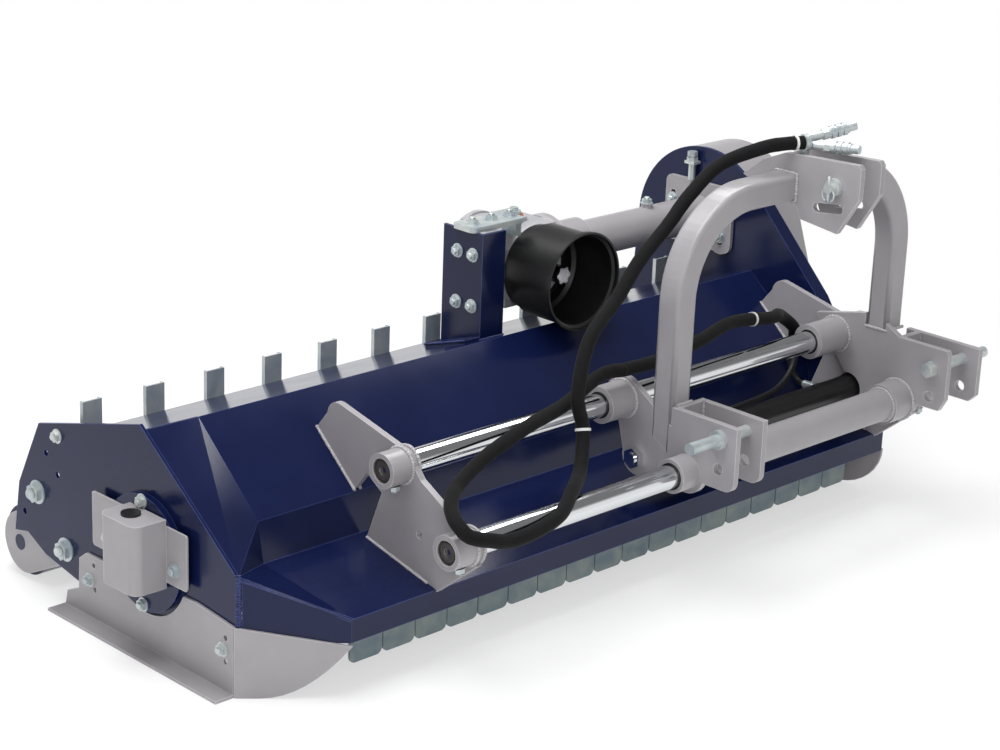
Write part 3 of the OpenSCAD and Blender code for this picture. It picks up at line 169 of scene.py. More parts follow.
def new_finish(name, settings, space="Object"):
    """A material with one surface shader, and the tree, shader and coordinates that its pattern uses."""
    finish = bpy.data.materials.new(name)
    finish.use_nodes = True
    tree = finish.node_tree
    tree.nodes.clear()
    surface = add(tree, "ShaderNodeBsdfPrincipled", settings)
    add(tree, "ShaderNodeOutputMaterial", feeds={"Surface": surface.outputs["BSDF"]})
    return finish, tree, surface, add(tree, "ShaderNodeTexCoord").outputs[space]


def emboss(tree, surface, height, strength, depth):
    """Raise a surface by a pattern, to a depth in metres."""
    relief = add(tree, "ShaderNodeBump", {"Strength": strength, "Distance": depth}, {"Height": height})
    tree.links.new(relief.outputs["Normal"], surface.inputs["Normal"])


# Polyester textile, woven: matt black, with a soft gray sheen on the crossing threads.
# The threads are 1 mm wide and drawn four times as coarse, because finer ones would not show.
sleeve_textile, tree, surface, wrap = new_finish("woven_polyester_sleeve",
    {"Roughness": 0.85, "Specular IOR Level": 0.2, "Sheen Weight": 0.04, "Sheen Roughness": 0.4}, "UV")
thread = 0.004
warp = add(tree, "ShaderNodeMapping", {"Rotation": (0, 0, math.radians(45)), "Scale": (1 / thread,) * 3},
    {"Vector": wrap})
threads = {"Scale": 1.0, "Color1": colour("#101012"), "Color2": colour("#060607")}
weave = add(tree, "ShaderNodeTexChecker", threads, {"Vector": warp.outputs["Vector"]})
fuzz = add(tree, "ShaderNodeTexNoise", {"Scale": 60.0, "Detail": 4.0}, {"Vector": wrap})
faded = add(tree, "ShaderNodeMix", {"data_type": "RGBA", "blend_type": "MIX", 7: colour("#141416")},
    {0: fuzz.outputs["Fac"], 6: weave.outputs["Color"]})
tree.links.new(faded.outputs[2], surface.inputs["Base Color"])
emboss(tree, surface, weave.outputs["Fac"], 0.5, 0.0006)


def folds(along, turn):
    """The sleeve's shallow folds: its radius, as a share of the sleeve's own."""
    return (0.985 - 0.025 * abs(math.sin(along * 95 + 0.8 * math.sin(turn + along * 7)))
        + 0.015 * math.sin(along * 31 + 2 * turn))


loop_path = flowing(loop_route, 0.006)
sleeve_loop = tube("sleeve_loop", loop_path, sleeve_r, 28, sleeve_textile, folds)
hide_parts("hose_loop")
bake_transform(sleeve_loop)

run_path = flowing(run_route, 0.006)
sleeve_run = tube("sleeve_run", run_path, sleeve_r, 28, sleeve_textile, folds)
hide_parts("hose_run")
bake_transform(sleeve_run)

# Hydraulic hoses
# Two black rubber hoses leave the sleeve above the cylinder. One turns down to the port at
# the fixed end, and the other runs along the barrel to the elbow at the rod's end.
hose_r = 0.0065
port_route = [at(*p) for p in (
    (1453, -145, 232), (1453, -133, 232), (1455, -122, 238), (1457, -105, 258), (1458, -98.5, 285),
    (1458, -98.5, 308))]
elbow_route = [at(*p) for p in (
    (985, -155, 232), (1050, -155, 232), (1150, -155, 232), (1250, -152, 232), (1350, -142, 233),
    (1400, -132, 241), (1437, -122, 258), (1453, -116, 278), (1458, -111.5, 296),
    (1458, -111.5, 308))]



def tint(tree, surface, share, dark, light):
    """Colour a surface between two sRGB hex codes, by the share that a pattern gives."""
    shade = add(tree, "ShaderNodeMix", {"data_type": "RGBA", 6: colour(dark), 7: colour(light)}, {0: share})
    tree.links.new(shade.outputs[2], surface.inputs["Base Color"])


# Nitrile rubber, wrapped and cured in cloth tape: black, dull, with a faint cloth print.
hose_rubber, tree, surface, wrap = new_finish("cured_nitrile_rubber", {"Roughness": 0.5}, "UV")
tape = add(tree, "ShaderNodeTexWave", {"wave_type": "BANDS", "bands_direction": "Y", "Scale": 40.0,
    "Distortion": 0.6}, {"Vector": wrap})
tint(tree, surface, tape.outputs["Fac"], "#101011", "#1d1d1f")
emboss(tree, surface, tape.outputs["Fac"], 0.3, 0.0003)

for name, route in (("port_hose", port_route), ("elbow_hose", elbow_route)):
    path = flowing(route, 0.005)
    hose = tube(name, path, hose_r, 20, hose_rubber)
    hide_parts("cylinder_hoses")
    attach(hose, "deck")

# Hood, end plates and the other navy steel
# Folded and welded sheet, powder coated dark navy after welding. The gloss shows the white
# room on the faces that look up, and every folded or cut edge has a painted highlight line.


def dress(finish, *names):
    """The CAD nodes of these names take a finish."""
    for name in names:
        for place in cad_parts[name].material_slots:
            place.material = finish


def edge_mask(tree, radius):
    """How near a surface is to an edge: 0 away from it, 1 on it."""
    round_over = add(tree, "ShaderNodeBevel", {"samples": 6, "Radius": radius})
    flat = add(tree, "ShaderNodeNewGeometry")
    turn = add(tree, "ShaderNodeVectorMath", {"operation": "DOT_PRODUCT"},
        {0: round_over.outputs["Normal"], 1: flat.outputs["Normal"]})
    span = {"From Min": 0.995, "From Max": 0.9, "To Min": 0.0, "To Max": 1.0}
    return add(tree, "ShaderNodeMapRange", span, {"Value": turn.outputs["Value"]}).outputs["Result"]


edge_width = 0.0018

# Polyester powder coat on steel, sprayed and baked: deep navy, glossy, with a fine orange peel.
navy_coat, tree, surface, place = new_finish("navy_powder_coat",
    {"Specular IOR Level": 0.3})
cloud = add(tree, "ShaderNodeTexNoise", {"Scale": 9.0, "Detail": 5.0}, {"Vector": place})
shade = add(tree, "ShaderNodeMix", {"data_type": "RGBA", 6: colour("#0b1233"), 7: colour("#121c44")},
    {0: cloud.outputs["Fac"]})
# Painted highlight: a lighter navy is mixed into the colour along every edge.
edge = edge_mask(tree, edge_width)
edge_highlight = add(tree, "ShaderNodeMix", {"data_type": "RGBA", 7: colour("#46528c")},
    {0: edge, 6: shade.outputs[2]})
tree.links.new(edge_highlight.outputs[2], surface.inputs["Base Color"])
peel = add(tree, "ShaderNodeTexNoise", {"Scale": 420.0, "Detail": 2.0}, {"Vector": place})
smear = add(tree, "ShaderNodeMapRange", {"To Min": 0.1, "To Max": 0.22}, {"Value": cloud.outputs["Fac"]})
tree.links.new(smear.outputs["Result"], surface.inputs["Roughness"])
emboss(tree, surface, peel.outputs["Fac"], 0.08, 0.0004)
dress(navy_coat, "hood", "end_plate_left", "end_plate_right", "counter_bar", "gearbox_bracket",
    "rotor_bearings", "rear_roller", "rotor_tube")

# Slide brackets, skids, arch and the other gray steel
# Plates cut from thicker steel and welded tubes, powder coated a warm light gray. The coat is
# satin, so that the plates look even, and their cut edges have a painted highlight.

# Polyester powder coat, satin: warm gray with a fine grain. The lighter edges are a painted highlight.
gray_coat, tree, surface, place = new_finish("warm_gray_powder_coat", {"Roughness": 0.32})
cloud = add(tree, "ShaderNodeTexNoise", {"Scale": 14.0, "Detail": 6.0}, {"Vector": place})
shade = add(tree, "ShaderNodeMix", {"data_type": "RGBA", 6: colour("#918e92"), 7: colour("#9f9ca0")},
    {0: cloud.outputs["Fac"]})
# Painted highlight: a light gray is mixed into the colour along every edge.
edge = edge_mask(tree, edge_width)
edge_highlight = add(tree, "ShaderNodeMix", {"data_type": "RGBA", 7: colour("#c9c7ca")},
    {0: edge, 6: shade.outputs[2]})
tree.links.new(edge_highlight.outputs[2], surface.inputs["Base Color"])
grain = add(tree, "ShaderNodeTexNoise", {"Scale": 600.0, "Detail": 3.0}, {"Vector": place})
emboss(tree, surface, grain.outputs["Fac"], 0.12, 0.0004)
dress(gray_coat, "shaft_bracket_left", "shaft_bracket_right", "drive_tube", "tensioner_plate",
    "belt_cover", "skid_left", "skid_right", "rotor_end_cover", "roller_arms", "hitch_arch",
    "top_link_clevis", "slide_plate_left", "slide_plate_right", "hitch_lugs", "slide_sleeves")

# Slide shafts, rod and drive shafts
# Ground bar with hard chrome on it, polished lengthwise: a mirror that draws the hood and
# the white room out into long bright and dark streaks.

# Hard chrome on steel, ground: bright, with faint rings from the grinding wheel.
chrome, tree, surface, place = new_finish("ground_hard_chrome",
    {"Metallic": 1.0, "Base Color": colour("#dadcdf"), "Roughness": 0.1})
rings = add(tree, "ShaderNodeTexWave", {"wave_type": "BANDS", "bands_direction": "X", "Scale": 60.0,
    "Distortion": 2.0, "Detail": 3.0}, {"Vector": place})
buff = add(tree, "ShaderNodeMapRange", {"To Min": 0.07, "To Max": 0.16}, {"Value": rings.outputs["Fac"]})
tree.links.new(buff.outputs["Result"], surface.inputs["Roughness"])
dress(chrome, "slide_shafts", "cylinder_rod", "drive_shaft", "pto_shaft")

# Zinc plated parts
# Flaps, rakes, pins and fasteners are steel with bright zinc and a thin blue passivation,
# which clouds into bluish and slightly yellow patches.

# Zinc plate on steel, passivated: silver-blue, softly mottled. The flaps' coat is older and
# darker than that of the fasteners and rakes.
coats = []
for name, cold, warm, shine in (("passivated_zinc_plate", "#a9b6bd", "#cdd1ce", 0.5),
        ("weathered_zinc_plate", "#54656f", "#767f7c", 0.5)):
    coat, tree, surface, place = new_finish(name, {"Metallic": shine})
    patch = add(tree, "ShaderNodeTexNoise", {"Scale": 22.0, "Detail": 5.0, "Distortion": 0.6},
        {"Vector": place})
    hue = add(tree, "ShaderNodeValToRGB", feeds={"Fac": patch.outputs["Fac"]})
    hue.color_ramp.elements[0].position = 0.32
    hue.color_ramp.elements[0].color = colour(cold)
    hue.color_ramp.elements[1].position = 0.68
    hue.color_ramp.elements[1].color = colour(warm)
    tree.links.new(hue.outputs["Color"], surface.inputs["Base Color"])
    cloudy = add(tree, "ShaderNodeMapRange", {"To Min": 0.26, "To Max": 0.48},
        {"Value": patch.outputs["Fac"]})
    tree.links.new(cloudy.outputs["Result"], surface.inputs["Roughness"])
    coats.append(coat)
zinc, old_zinc = coats
dress(old_zinc, "flaps_1", "flaps_2", "flaps_3", "flaps_4", "flaps_5", "flaps_6")
dress(zinc, "rakes", "gearbox_strap", "gearbox_plugs", "tensioner_bolt", "body_bolts", "flap_rod",
    "cylinder_fittings", "hammer_pins", "top_link_pin", "lower_link_pins", "hose_couplings")

# Fasteners
# Each bolt on the plates has a plain washer under it, a chamfered crown and the end of its
# thread standing out of the nut. Sizes count in the bolt's own radius.


def new_tree(name, *inputs):
    """A geometry tree with the mesh as its first input, and the node that gives the inputs."""
    tree = bpy.data.node_groups.new(name, "GeometryNodeTree")
    tree.interface.new_socket("Geometry", in_out="OUTPUT", socket_type="NodeSocketGeometry")
    tree.interface.new_socket("Geometry", in_out="INPUT", socket_type="NodeSocketGeometry")
    for label, kind in inputs:
        tree.interface.new_socket(label, in_out="INPUT", socket_type=kind)
    return tree, add(tree, "NodeGroupInput")


def grow(name, mesh, tree, values, body):
    """The tree's result on a mesh, as one plain mesh that rides a body."""
    piece = bpy.data.objects.new(name, mesh)
    bpy.context.collection.objects.link(piece)
    growth = piece.modifiers.new("growth", "NODES")
    growth.node_group = tree
    sockets = {item.name: item.identifier for item in tree.interface.items_tree if item.in_out == "INPUT"}
    for label, value in values.items():
        growth[sockets[label]] = value
    result = bpy.data.meshes.new_from_object(piece.evaluated_get(bpy.context.evaluated_depsgraph_get()))
    piece.modifiers.remove(growth)
    piece.data = result
    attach(piece, body)
    return piece


def fastener_tree(name, head):
    """Washer, crown and thread on every point. With a head, the hexagon too."""
    tree, given = new_tree(name, ("Finish", "NodeSocketMaterial"), ("Washer", "NodeSocketFloat"))
    join = add(tree, "GeometryNodeJoinGeometry")
    top = 1.3 + 0.25 * head
    rounds = [(32, None, 0.25, 0.125), (32, 1.45, 0.14, top + 0.05)]
    if head:
        rounds.append((6, 1.8, 1.3, 0.9))
    for sides, radius, depth, height in rounds:
        disc = add(tree, "GeometryNodeMeshCylinder", {"Vertices": sides, "Depth": depth})
        if radius:
            disc.inputs["Radius"].default_value = radius
        else:
            tree.links.new(given.outputs["Washer"], disc.inputs["Radius"])
        lift = add(tree, "GeometryNodeTransform", {"Translation": (0, 0, height)},
            {"Geometry": disc.outputs["Mesh"]})
        tree.links.new(lift.outputs["Geometry"], join.inputs[0])
    ridge = {"Vertices": 20, "Radius Top": 0.82, "Radius Bottom": 1.0, "Depth": 0.2}
    turn = add(tree, "GeometryNodeMeshCone", ridge)
    stack = {"Count": 4, "Start Location": (0, 0, top), "Offset": (0, 0, 0.19)}
    line = add(tree, "GeometryNodeMeshLine", stack)
    thread = add(tree, "GeometryNodeInstanceOnPoints",
        feeds={"Points": line.outputs["Mesh"], "Instance": turn.outputs["Mesh"]})
    tree.links.new(thread.outputs["Instances"], join.inputs[0])
    facing = add(tree, "GeometryNodeInputNamedAttribute", {"data_type": "FLOAT_VECTOR", "Name": "facing"})
    size = add(tree, "GeometryNodeInputNamedAttribute", {"data_type": "FLOAT", "Name": "size"})
    aimed = add(tree, "FunctionNodeAlignRotationToVector", {"axis": "Z"}, {"Vector": facing.outputs[0]})
    spread = add(tree, "GeometryNodeInstanceOnPoints", feeds={"Points": given.outputs["Geometry"],
        "Instance": join.outputs[0], "Rotation": aimed.outputs[0], "Scale": size.outputs[0]})
    real = add(tree, "GeometryNodeRealizeInstances", feeds={0: spread.outputs[0]})
    dressed = add(tree, "GeometryNodeSetMaterial", feeds={"Geometry": real.outputs[0],
        "Material": given.outputs["Finish"]})
    add(tree, "NodeGroupOutput", feeds={0: dressed.outputs[0]})
    return tree


def fasten(name, spots, tree, body):
    """Fasteners at points of the machine's drawing, each with its direction and bolt radius."""
    mesh = bpy.data.meshes.new(name)
    mesh.from_pydata([at(*spot) for spot, way, radius in spots], [], [])
    facing = mesh.attributes.new("facing", "FLOAT_VECTOR", "POINT")
    facing.data.foreach_set("vector", [part for spot, way, radius in spots for part in way])
    size = mesh.attributes.new("size", "FLOAT", "POINT")
    size.data.foreach_set("value", [radius / 1000 for spot, way, radius in spots])
    return grow(name, mesh, tree, {"Finish": zinc, "Washer": 2.2}, body)


left, right_way, ahead, upward, downward = (-1, 0, 0), (1, 0, 0), (0, -1, 0), (0, 0, 1), (0, -0.25, -0.97)
plate_spots = [((0, 416, 188), left, 10), ((0, 332, 105), left, 10), ((0, 351, 312), left, 6),
    ((-5, 254, 75), left, 6), ((-5, -119, 78), left, 6), ((-15, 182, 182), left, 6),
    ((-15, -6, 182), left, 6), ((-12, 88, 276), left, 6), ((-12, 88, 88), left, 6),
    ((1571, 416, 188), right_way, 10), ((1571, 332, 105), right_way, 10),
    ((1576, 254, 75), right_way, 6), ((1576, -119, 78), right_way, 6)]
plate_spots += [((800, y, z), left, 6.2) for y in (153, 195) for z in (446, 546)]
plate_spots += [((1557, y, z), left, 6.2) for y in (187, 324) for z in (448, 504)]
plate_spots += [((x, 175, 600), upward, 6.4) for x in (816, 866, 914)]
fasten("nut_details", plate_spots, fastener_tree("nut_detail", False), "deck")
loose_spots = [((x, y, z), downward, 5) for x in (308, 1567) for y, z in ((-183, 305), (-345, 210))]
loose_spots += [((1391, 251, 533), upward, 6), ((1389, 205, 474), ahead, 5.5)]
loose_spots += [((893, 251 + 58 * math.cos(a), 486 + 58 * math.sin(a)), left, 4.5)
    for a in (math.radians(45 + 90 * k) for k in range(4))]
fasten("set_bolts_and_plugs", loose_spots, fastener_tree("whole_bolt", True), "deck")

# Weld seams
# MIG beads join the tubes, sleeves, bosses and plates. They are ripples about 3 mm apart, and
# the powder coat runs over them.
tree, given = new_tree("weld_bead", ("Finish", "NodeSocketMaterial"), ("Pitch", "NodeSocketFloat"),
    ("Bead", "NodeSocketFloat"))
line = add(tree, "GeometryNodeMeshToCurve", feeds={0: given.outputs["Geometry"]})
steps = add(tree, "GeometryNodeResampleCurve", {"mode": "LENGTH"}, {"Curve": line.outputs[0],
    "Length": given.outputs["Pitch"]})
drop = add(tree, "GeometryNodeMeshIcoSphere", {"Radius": 1.0, "Subdivisions": 2})
uneven = add(tree, "FunctionNodeRandomValue", {"data_type": "FLOAT", 2: 0.82, 3: 1.18, "Seed": 7})
swell = add(tree, "ShaderNodeMath", {"operation": "MULTIPLY"},
    {0: uneven.outputs[1], 1: given.outputs["Bead"]})
drops = add(tree, "GeometryNodeInstanceOnPoints",
    feeds={"Points": steps.outputs[0], "Instance": drop.outputs[0], "Scale": swell.outputs[0]})
real = add(tree, "GeometryNodeRealizeInstances", feeds={0: drops.outputs[0]})
smooth = add(tree, "GeometryNodeSetShadeSmooth", feeds={0: real.outputs[0]})
dressed = add(tree, "GeometryNodeSetMaterial", feeds={"Geometry": smooth.outputs[0],
    "Material": given.outputs["Finish"]})
add(tree, "NodeGroupOutput", feeds={0: dressed.outputs[0]})
weld_tree = tree


def ring_x(x, y, z, r):
    """A round seam about an axis along the machine."""
    return [(x, y + r * math.cos(a), z + r * math.sin(a)) for a in (math.radians(10 * k) for k in range(37))]


def weld(name, seams, finish, body, bead=3.2):
    """Beads along lines of the machine's drawing."""
    points, edges = [], []
    for seam in seams:
        edges += [(len(points) + i, len(points) + i + 1) for i in range(len(seam) - 1)]
        points += [at(*p) for p in seam]
    mesh = bpy.data.meshes.new(name)
    mesh.from_pydata(points, edges, [])
    return grow(name, mesh, weld_tree, {"Finish": finish, "Pitch": 0.003, "Bead": bead / 1000}, body)


upper_line, lower_line = (-175, 336), (-337, 241)
head_seams = [ring_x(875, *upper_line, 36), ring_x(889, *lower_line, 33), ring_x(1503, *upper_line, 36),
    ring_x(1450, *lower_line, 33), ring_x(1503, *lower_line, 41),
    [(1505, -245, 371), (1505, -296, 371), (1557, -296, 371)],
    [(888, -296, 352), (926, -296, 352)], [(889, -308, 292), (889, -308, 351)],
    [(947, -308, 292), (947, -308, 351)]]
for x in (1184, 1198, 1244, 1258):
    head_seams.append([(x, -245, 684), (x, -245, 736), (x, -296, 736), (x, -296, 684), (x, -245, 684)])
weld("headstock_welds", head_seams, gray_coat, "headstock")
frame_seams = [ring_x(x, *line, 32) for x in (329, 343, 1532, 1546) for line in (upper_line, lower_line)]
for x in (329.5, 342.5, 1532.5, 1545.5):
    frame_seams += [[(x, 44, 342.5), (x, -57, 256)], [(x, -246, 145), (x, -92, 178.5)]]
weld("bracket_welds", frame_seams, gray_coat, "deck")
weld("gearbox_bracket_welds", [[(799.5, 235, 351), (799.5, 128, 384.5), (860, 127.5, 384.5)],
    [(760, 128, 391), (760, 235, 357)], [(806.5, 235, 351), (806.5, 134, 383)]], navy_coat, "deck", 2.6)
weld("nose_weld", [[(x, y, 100), (x, y, 214)] for x, y in ((2.5, -148), (7, -149))], navy_coat, "deck", 3.6)

# Arch
# Square steel tube of 50 mm with round corners, bent to both legs and powder coated. The left
# foot is cut slanting, and the right foot stands on the web of the right hitch lugs.
arch_y = -270
left_leg_x = 901
right_leg_x = 1531
left_foot_z = 262
right_foot_z = 371
bend_r = 170
bend_z = 540
arch_half = 0.0254
arch_corner = 0.009
corner_steps = 6
cut_start = at(0, -297, 257)
cut_slope = 0.63
bend_turns = [math.radians(4.5 * k) for k in range(21)]
arch_path = [at(left_leg_x, arch_y, left_foot_z), at(left_leg_x, arch_y, bend_z)]
arch_path += [at(left_leg_x + bend_r - bend_r * math.cos(a), arch_y, bend_z + bend_r * math.sin(a))
    for a in bend_turns[1:]]
arch_path += [at(right_leg_x - bend_r + bend_r * math.sin(a), arch_y, bend_z + bend_r * math.cos(a))
    for a in bend_turns]
arch_path.append(at(right_leg_x, arch_y, right_foot_z))
form = bmesh.new()
rings = []
depth_way = Vector((0, 1, 0))
for i, point in enumerate(arch_path):
    heading = (arch_path[min(i + 1, len(arch_path) - 1)] - arch_path[max(i - 1, 0)]).normalized()
    out = heading.cross(depth_way)
    ring = []
    for quarter in range(4):
        for step in range(corner_steps):
            a = math.radians(90 * quarter + 90 * step / (corner_steps - 1))
            b = math.radians(90 * quarter + 45)
            spread = (arch_half - arch_corner) * math.sqrt(2)
            u = spread * math.cos(b) + arch_corner * math.cos(a)
            v = spread * math.sin(b) + arch_corner * math.sin(a)
            place = point + u * out + v * depth_way
            if i == 0:
                place.z = cut_start.z + cut_slope * (place.y - cut_start.y)
            ring.append(form.verts.new(place))
    rings.append(ring)
around = 4 * corner_steps
for low, high in zip(rings, rings[1:]):
    for k in range(around):
        n = (k + 1) % around
        face = form.faces.new((low[k], low[n], high[n], high[k]))
        face.smooth = n % corner_steps != 0
form.faces.new(reversed(rings[0]))
form.faces.new(rings[-1])
bmesh.ops.recalc_face_normals(form, faces=form.faces)
mesh = bpy.data.meshes.new("round_cornered_arch")
form.to_mesh(mesh)
form.free()
arch = new_piece("round_cornered_arch", mesh, gray_coat)
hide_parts("hitch_arch")
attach(arch, "headstock")

# Shaft ends, sealing washer and linch pin
# The shafts' ends are turned steel with a threaded hole, set back in the bosses. A copper
# washer seals the gearbox plug, and a zinc plated pin with a wire ring keeps the top link pin.
turned_sides = 40


def turned(name, axis, spots, profile, finish, body, closed=False):
    """Turned pieces: a profile of (distance along the axis, radius) in millimetres at some spots."""
    form = bmesh.new()
    axis = Vector(axis)
    side = axis.orthogonal().normalized()
    other = axis.cross(side)
    turns = [2 * math.pi * k / turned_sides for k in range(turned_sides)]
    for spot in spots:
        rings = []
        for along, radius in profile:
            centre = at(*spot) + axis * along / 1000
            rings.append([form.verts.new(centre + (math.cos(a) * side + math.sin(a) * other) * radius / 1000)
                for a in turns])
        for low, high in zip(rings, rings[1:] + ([rings[0]] if closed else [])):
            for k in range(turned_sides):
                n = (k + 1) % turned_sides
                form.faces.new((low[k], low[n], high[n], high[k]))
        if not closed:
            form.faces.new(rings[0])
            form.faces.new(rings[-1])
    bmesh.ops.recalc_face_normals(form, faces=form.faces)
    mesh = bpy.data.meshes.new(name)
    form.to_mesh(mesh)
    form.free()
    piece = new_piece(name, mesh, finish)
    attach(piece, body)
    return piece


# Steel bar, turned and oiled: dark, with faint rings from the lathe.
turned_steel, tree, surface, place = new_finish("turned_oiled_steel", {"Metallic": 0.7, "Roughness": 0.4})
marks = add(tree, "ShaderNodeTexNoise", {"Scale": 180.0, "Detail": 4.0}, {"Vector": place})
tint(tree, surface, marks.outputs["Fac"], "#4b4846", "#77736f")
left_end_x = 288
right_end_x = 1586
end_profile = [(-4, 21.9), (0.5, 21.9), (0.5, 20), (-2.5, 19.5), (-2.5, 17.5), (0, 17), (0, 9),
    (-1.5, 7.5), (-1.5, 5.5), (-3.8, 5)]
for name, way, x in (("left_shaft_ends", left, left_end_x), ("right_shaft_ends", right_way, right_end_x)):
    ends = turned(name, way, [(x, *upper_line), (x, *lower_line)], end_profile, turned_steel, "deck")
    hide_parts("shaft_end_caps")

# Copper, annealed: orange and dull.
copper, tree, surface, place = new_finish("annealed_copper", {"Metallic": 0.8, "Roughness": 0.4})
marks = add(tree, "ShaderNodeTexNoise", {"Scale": 90.0, "Detail": 3.0}, {"Vector": place})
tint(tree, surface, marks.outputs["Fac"], "#c46a30", "#e08a48")
washer_profile = [(0, 15), (2.4, 15), (2.4, 19), (0, 19)]
turned("sealing_washer", upward, [(1002, 251, 570)], washer_profile, copper, "deck", closed=True)

linch_x = 1166
linch_y = -383
linch_ring_z = 718
linch_ring_r = 13
ring_path = [at(linch_x, linch_y + linch_ring_r * math.sin(a), linch_ring_z + linch_ring_r * math.cos(a))
    for a in (math.radians(12 * k) for k in range(-13, 14))]
linch_ring = tube("linch_ring", ring_path, 0.0018, 10, zinc)
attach(linch_ring, "headstock")
pin_path = [at(linch_x, linch_y, z) for z in (704, 710, 745, 752)]
linch_pin = tube("linch_pin", pin_path, 0.003, 14, zinc)
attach(linch_pin, "headstock")

# Hose ties
# White nylon ties hold the sleeve: one on the loop, one at the couplings and one on the run.

# Polyamide, moulded: plain white, slightly glossy.
nylon, tree, surface, wrap = new_finish("white_polyamide", {"Roughness": 0.4}, "UV")
ribs = add(tree, "ShaderNodeTexWave", {"wave_type": "BANDS", "bands_direction": "X", "Scale": 160.0},
    {"Vector": wrap})
tint(tree, surface, ribs.outputs["Fac"], "#c9c9c6", "#e8e8e5")
tie_half = 0.0024
tie_bevel = 0.0001
tie_edge = tie_half - tie_bevel
for name, path, place, start, end in (("loop_tie", loop_path, (679, -262, 344), -200, 660),
        ("coupling_tie", loop_path, (1190, -283, 791), -200, 660),
        ("run_tie", run_path, (1262, -150, 408), 1440, 950)):
    i = min(range(1, len(path) - 1), key=lambda k: (path[k] - at(*place)).length)
    heading = (path[i + 1] - path[i - 1]).normalized()
    band = [path[i] + heading * offset for offset in (-tie_half, -tie_edge, 0, tie_edge, tie_half)]
    tie = tube(name, band, sleeve_r + 0.0012, 28, nylon)
    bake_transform(tie)

# Gearbox
# Cast iron housing with bearing flanges, painted silver over the casting's grain. It bolts to
# the navy bracket and carries the drive tube.

# Silver paint on a sand casting: dull metal, grainy, in random lighter and darker patches.
cast_paint, tree, surface, place = new_finish("silver_paint_on_casting",
    {"Metallic": 0.25, "Roughness": 0.46})
cloud = add(tree, "ShaderNodeTexNoise", {"Scale": 30.0, "Detail": 6.0}, {"Vector": place})
tint(tree, surface, cloud.outputs["Fac"], "#9c9ca0", "#bcbcbf")
sand = add(tree, "ShaderNodeTexNoise", {"Scale": 350.0, "Detail": 4.0}, {"Vector": place})
emboss(tree, surface, sand.outputs["Fac"], 0.35, 0.0008)
dress(cast_paint, "gearbox_housing")

# Pulleys and hammers
# Turned iron wheels and drop forged hammers, hidden under the hood and the belt cover.

# Iron, forged or turned, left raw: dark, with brown scale in patches.
raw_iron, tree, surface, place = new_finish("raw_forged_iron", {"Metallic": 0.8, "Roughness": 0.5})
scale = add(tree, "ShaderNodeTexNoise", {"Scale": 40.0, "Detail": 8.0}, {"Vector": place})
tint(tree, surface, scale.outputs["Fac"], "#3c3a3a", "#5a5655")
emboss(tree, surface, scale.outputs["Fac"], 0.3, 0.0008)
dress(raw_iron, "hammers_1", "hammers_2", "hammers_3", "hammers_4", "rotor_pulley", "drive_pulley")

# Black plastic and rubber parts
# Shaft guard, plug and slide bushes are moulded, and the belts are rubber and cloth. The
# cylinder's barrel is steel painted the same black.

# Polyethylene, moulded: black, waxy, with a fine grain.
moulded_black, tree, surface, place = new_finish("moulded_black_polyethylene", {"Roughness": 0.38})
grain = add(tree, "ShaderNodeTexNoise", {"Scale": 260.0, "Detail": 3.0}, {"Vector": place})
tint(tree, surface, grain.outputs["Fac"], "#0a0a0b", "#161617")
emboss(tree, surface, grain.outputs["Fac"], 0.15, 0.0004)
dress(moulded_black, "pto_guard", "cover_plug", "slide_bushes", "drive_belts", "cylinder_barrel")

# Floor and light
# A white studio: a pale floor that keeps the machine's shadow, white walls at the horizon, a
# dark ceiling with one large soft panel, and a smaller panel on the tractor's side.
floor_mesh = bpy.data.meshes.new("floor")
floor_mesh.from_pydata([(-30, -30, 0), (30, -30, 0), (30, 30, 0), (-30, 30, 0)], [], [(0, 1, 2, 3)])
pale_floor, tree, surface, place = new_finish("pale_studio_floor",
    {"Base Color": colour("#f9f9f9"), "Roughness": 0.9, "Specular IOR Level": 0.1})
ray = add(tree, "ShaderNodeLightPath")
seen = add(tree, "ShaderNodeMath", {"operation": "MAXIMUM"},
    {0: ray.outputs["Is Camera Ray"], 1: ray.outputs["Is Glossy Ray"]})
reach = add(tree, "ShaderNodeVectorMath", {"operation": "LENGTH"}, {0: place})
far = add(tree, "ShaderNodeMapRange", {"interpolation_type": "SMOOTHSTEP", "From Min": 0.9, "From Max": 2.2,
    "To Min": 0.6, "To Max": 1.0}, {"Value": reach.outputs["Value"]})
share = add(tree, "ShaderNodeMath", {"operation": "MULTIPLY"},
    {0: seen.outputs[0], 1: far.outputs["Result"]})
backdrop = add(tree, "ShaderNodeEmission", {"Color": (1, 1, 1, 1), "Strength": 1.0})
both = add(tree, "ShaderNodeMixShader",
    feeds={0: share.outputs[0], 1: surface.outputs["BSDF"], 2: backdrop.outputs["Emission"]})
tree.links.new(both.outputs[0], tree.nodes["Material Output"].inputs["Surface"])
floor = new_piece("floor", floor_mesh, pale_floor)
floor.location.z = -0.0005

world = bpy.data.worlds.new("white_room")
bpy.context.scene.world = world
world.use_nodes = True
tree = world.node_tree
tree.nodes.clear()
ray = add(tree, "ShaderNodeLightPath")
mirrored = add(tree, "ShaderNodeMath", {"operation": "MAXIMUM"},
    {0: ray.outputs["Is Glossy Ray"], 1: ray.outputs["Is Transmission Ray"]})
aim = add(tree, "ShaderNodeSeparateXYZ", feeds={0: add(tree, "ShaderNodeTexCoord").outputs["Generated"]})
ceiling = add(tree, "ShaderNodeMapRange", {"interpolation_type": "SMOOTHSTEP", "From Min": 0.1,
    "From Max": 0.42, "To Min": 1.0, "To Max": 0.22}, {"Value": aim.outputs["Z"]})
fill = add(tree, "ShaderNodeBackground", {"Color": (1, 1, 1, 1), "Strength": 0.5})
room = add(tree, "ShaderNodeBackground", {"Color": (1, 1, 1, 1)}, {"Strength": ceiling.outputs["Result"]})
white = add(tree, "ShaderNodeBackground", {"Color": (1, 1, 1, 1), "Strength": 1.0})
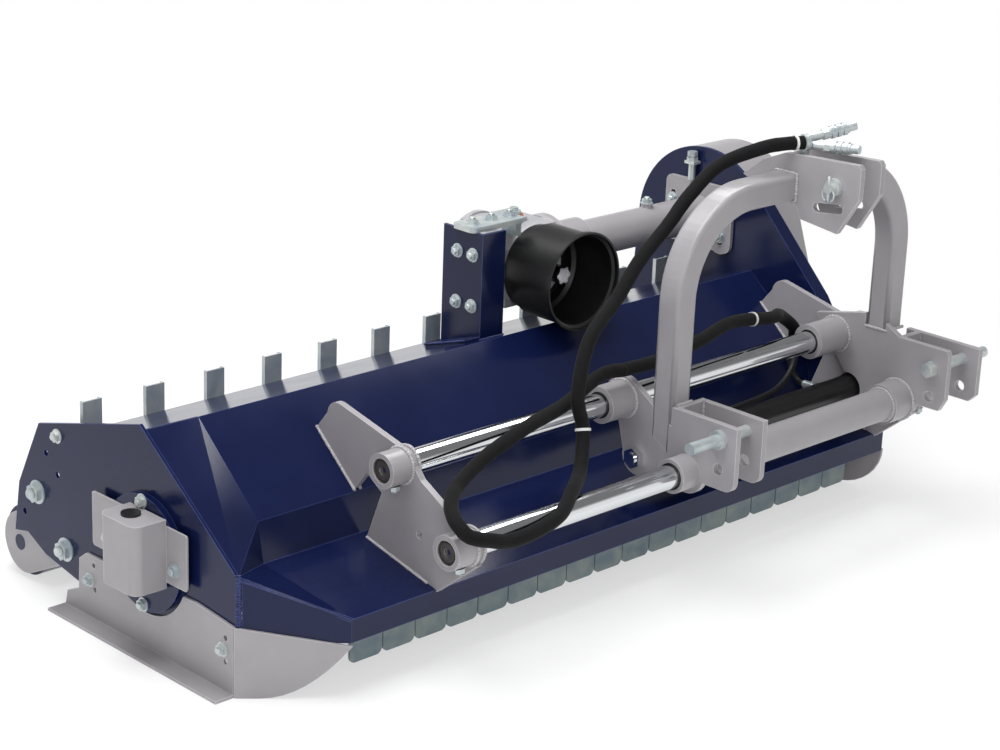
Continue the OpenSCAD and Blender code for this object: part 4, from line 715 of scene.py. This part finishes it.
lit = add(tree, "ShaderNodeMixShader",
    feeds={0: mirrored.outputs[0], 1: fill.outputs[0], 2: room.outputs[0]})
shown = add(tree, "ShaderNodeMixShader", feeds={0: ray.outputs["Is Camera Ray"], 1: lit.outputs[0],
    2: white.outputs[0]})
add(tree, "ShaderNodeOutputWorld", feeds={"Surface": shown.outputs[0]})


def softbox(name, place, aim, width, height, power):
    """A soft light panel that faces a point."""
    panel = bpy.data.lights.new(name, "AREA")
    panel.shape = "RECTANGLE"
    panel.size = width
    panel.size_y = height
    panel.energy = power
    lamp = bpy.data.objects.new(name, panel)
    lamp.location = place
    lamp.rotation_euler = (Vector(aim) - Vector(place)).to_track_quat("-Z", "Y").to_euler()
    bpy.context.collection.objects.link(lamp)


softbox("overhead_panel", (-0.6, 0.3, 3.4), (0, 0, 0.2), 3.2, 2.0, 130)
softbox("tractor_side_panel", (-3.5, -4.0, 2.6), (0, 0, 0.3), 1.6, 1.4, 60)

# A white panel over the bearing end that only mirror reflections show, so that the facet of
# the hood has its highlight.
panel_x = (0.5, 0.9)
panel_y = (-0.2, 0.6)
panel_z = (1.896, 1.421)
panel_mesh = bpy.data.meshes.new("gloss_panel")
panel_mesh.from_pydata([(panel_x[k], panel_y[n], panel_z[k]) for k, n in ((0, 0), (0, 1), (1, 1), (1, 0))],
    [], [(0, 1, 2, 3)])
panel_glow = bpy.data.materials.new("gloss_panel_glow")
panel_glow.use_nodes = True
tree = panel_glow.node_tree
tree.nodes.clear()
ray = add(tree, "ShaderNodeLightPath")
glow = add(tree, "ShaderNodeEmission", {"Color": (1, 1, 1, 1), "Strength": 9.0})
clear = add(tree, "ShaderNodeBsdfTransparent")
both = add(tree, "ShaderNodeMixShader",
    feeds={0: ray.outputs["Is Glossy Ray"], 1: clear.outputs[0], 2: glow.outputs[0]})
add(tree, "ShaderNodeOutputMaterial", feeds={"Surface": both.outputs[0]})
new_piece("gloss_panel", panel_mesh, panel_glow)

bpy.context.scene.view_settings.view_transform = "Standard"
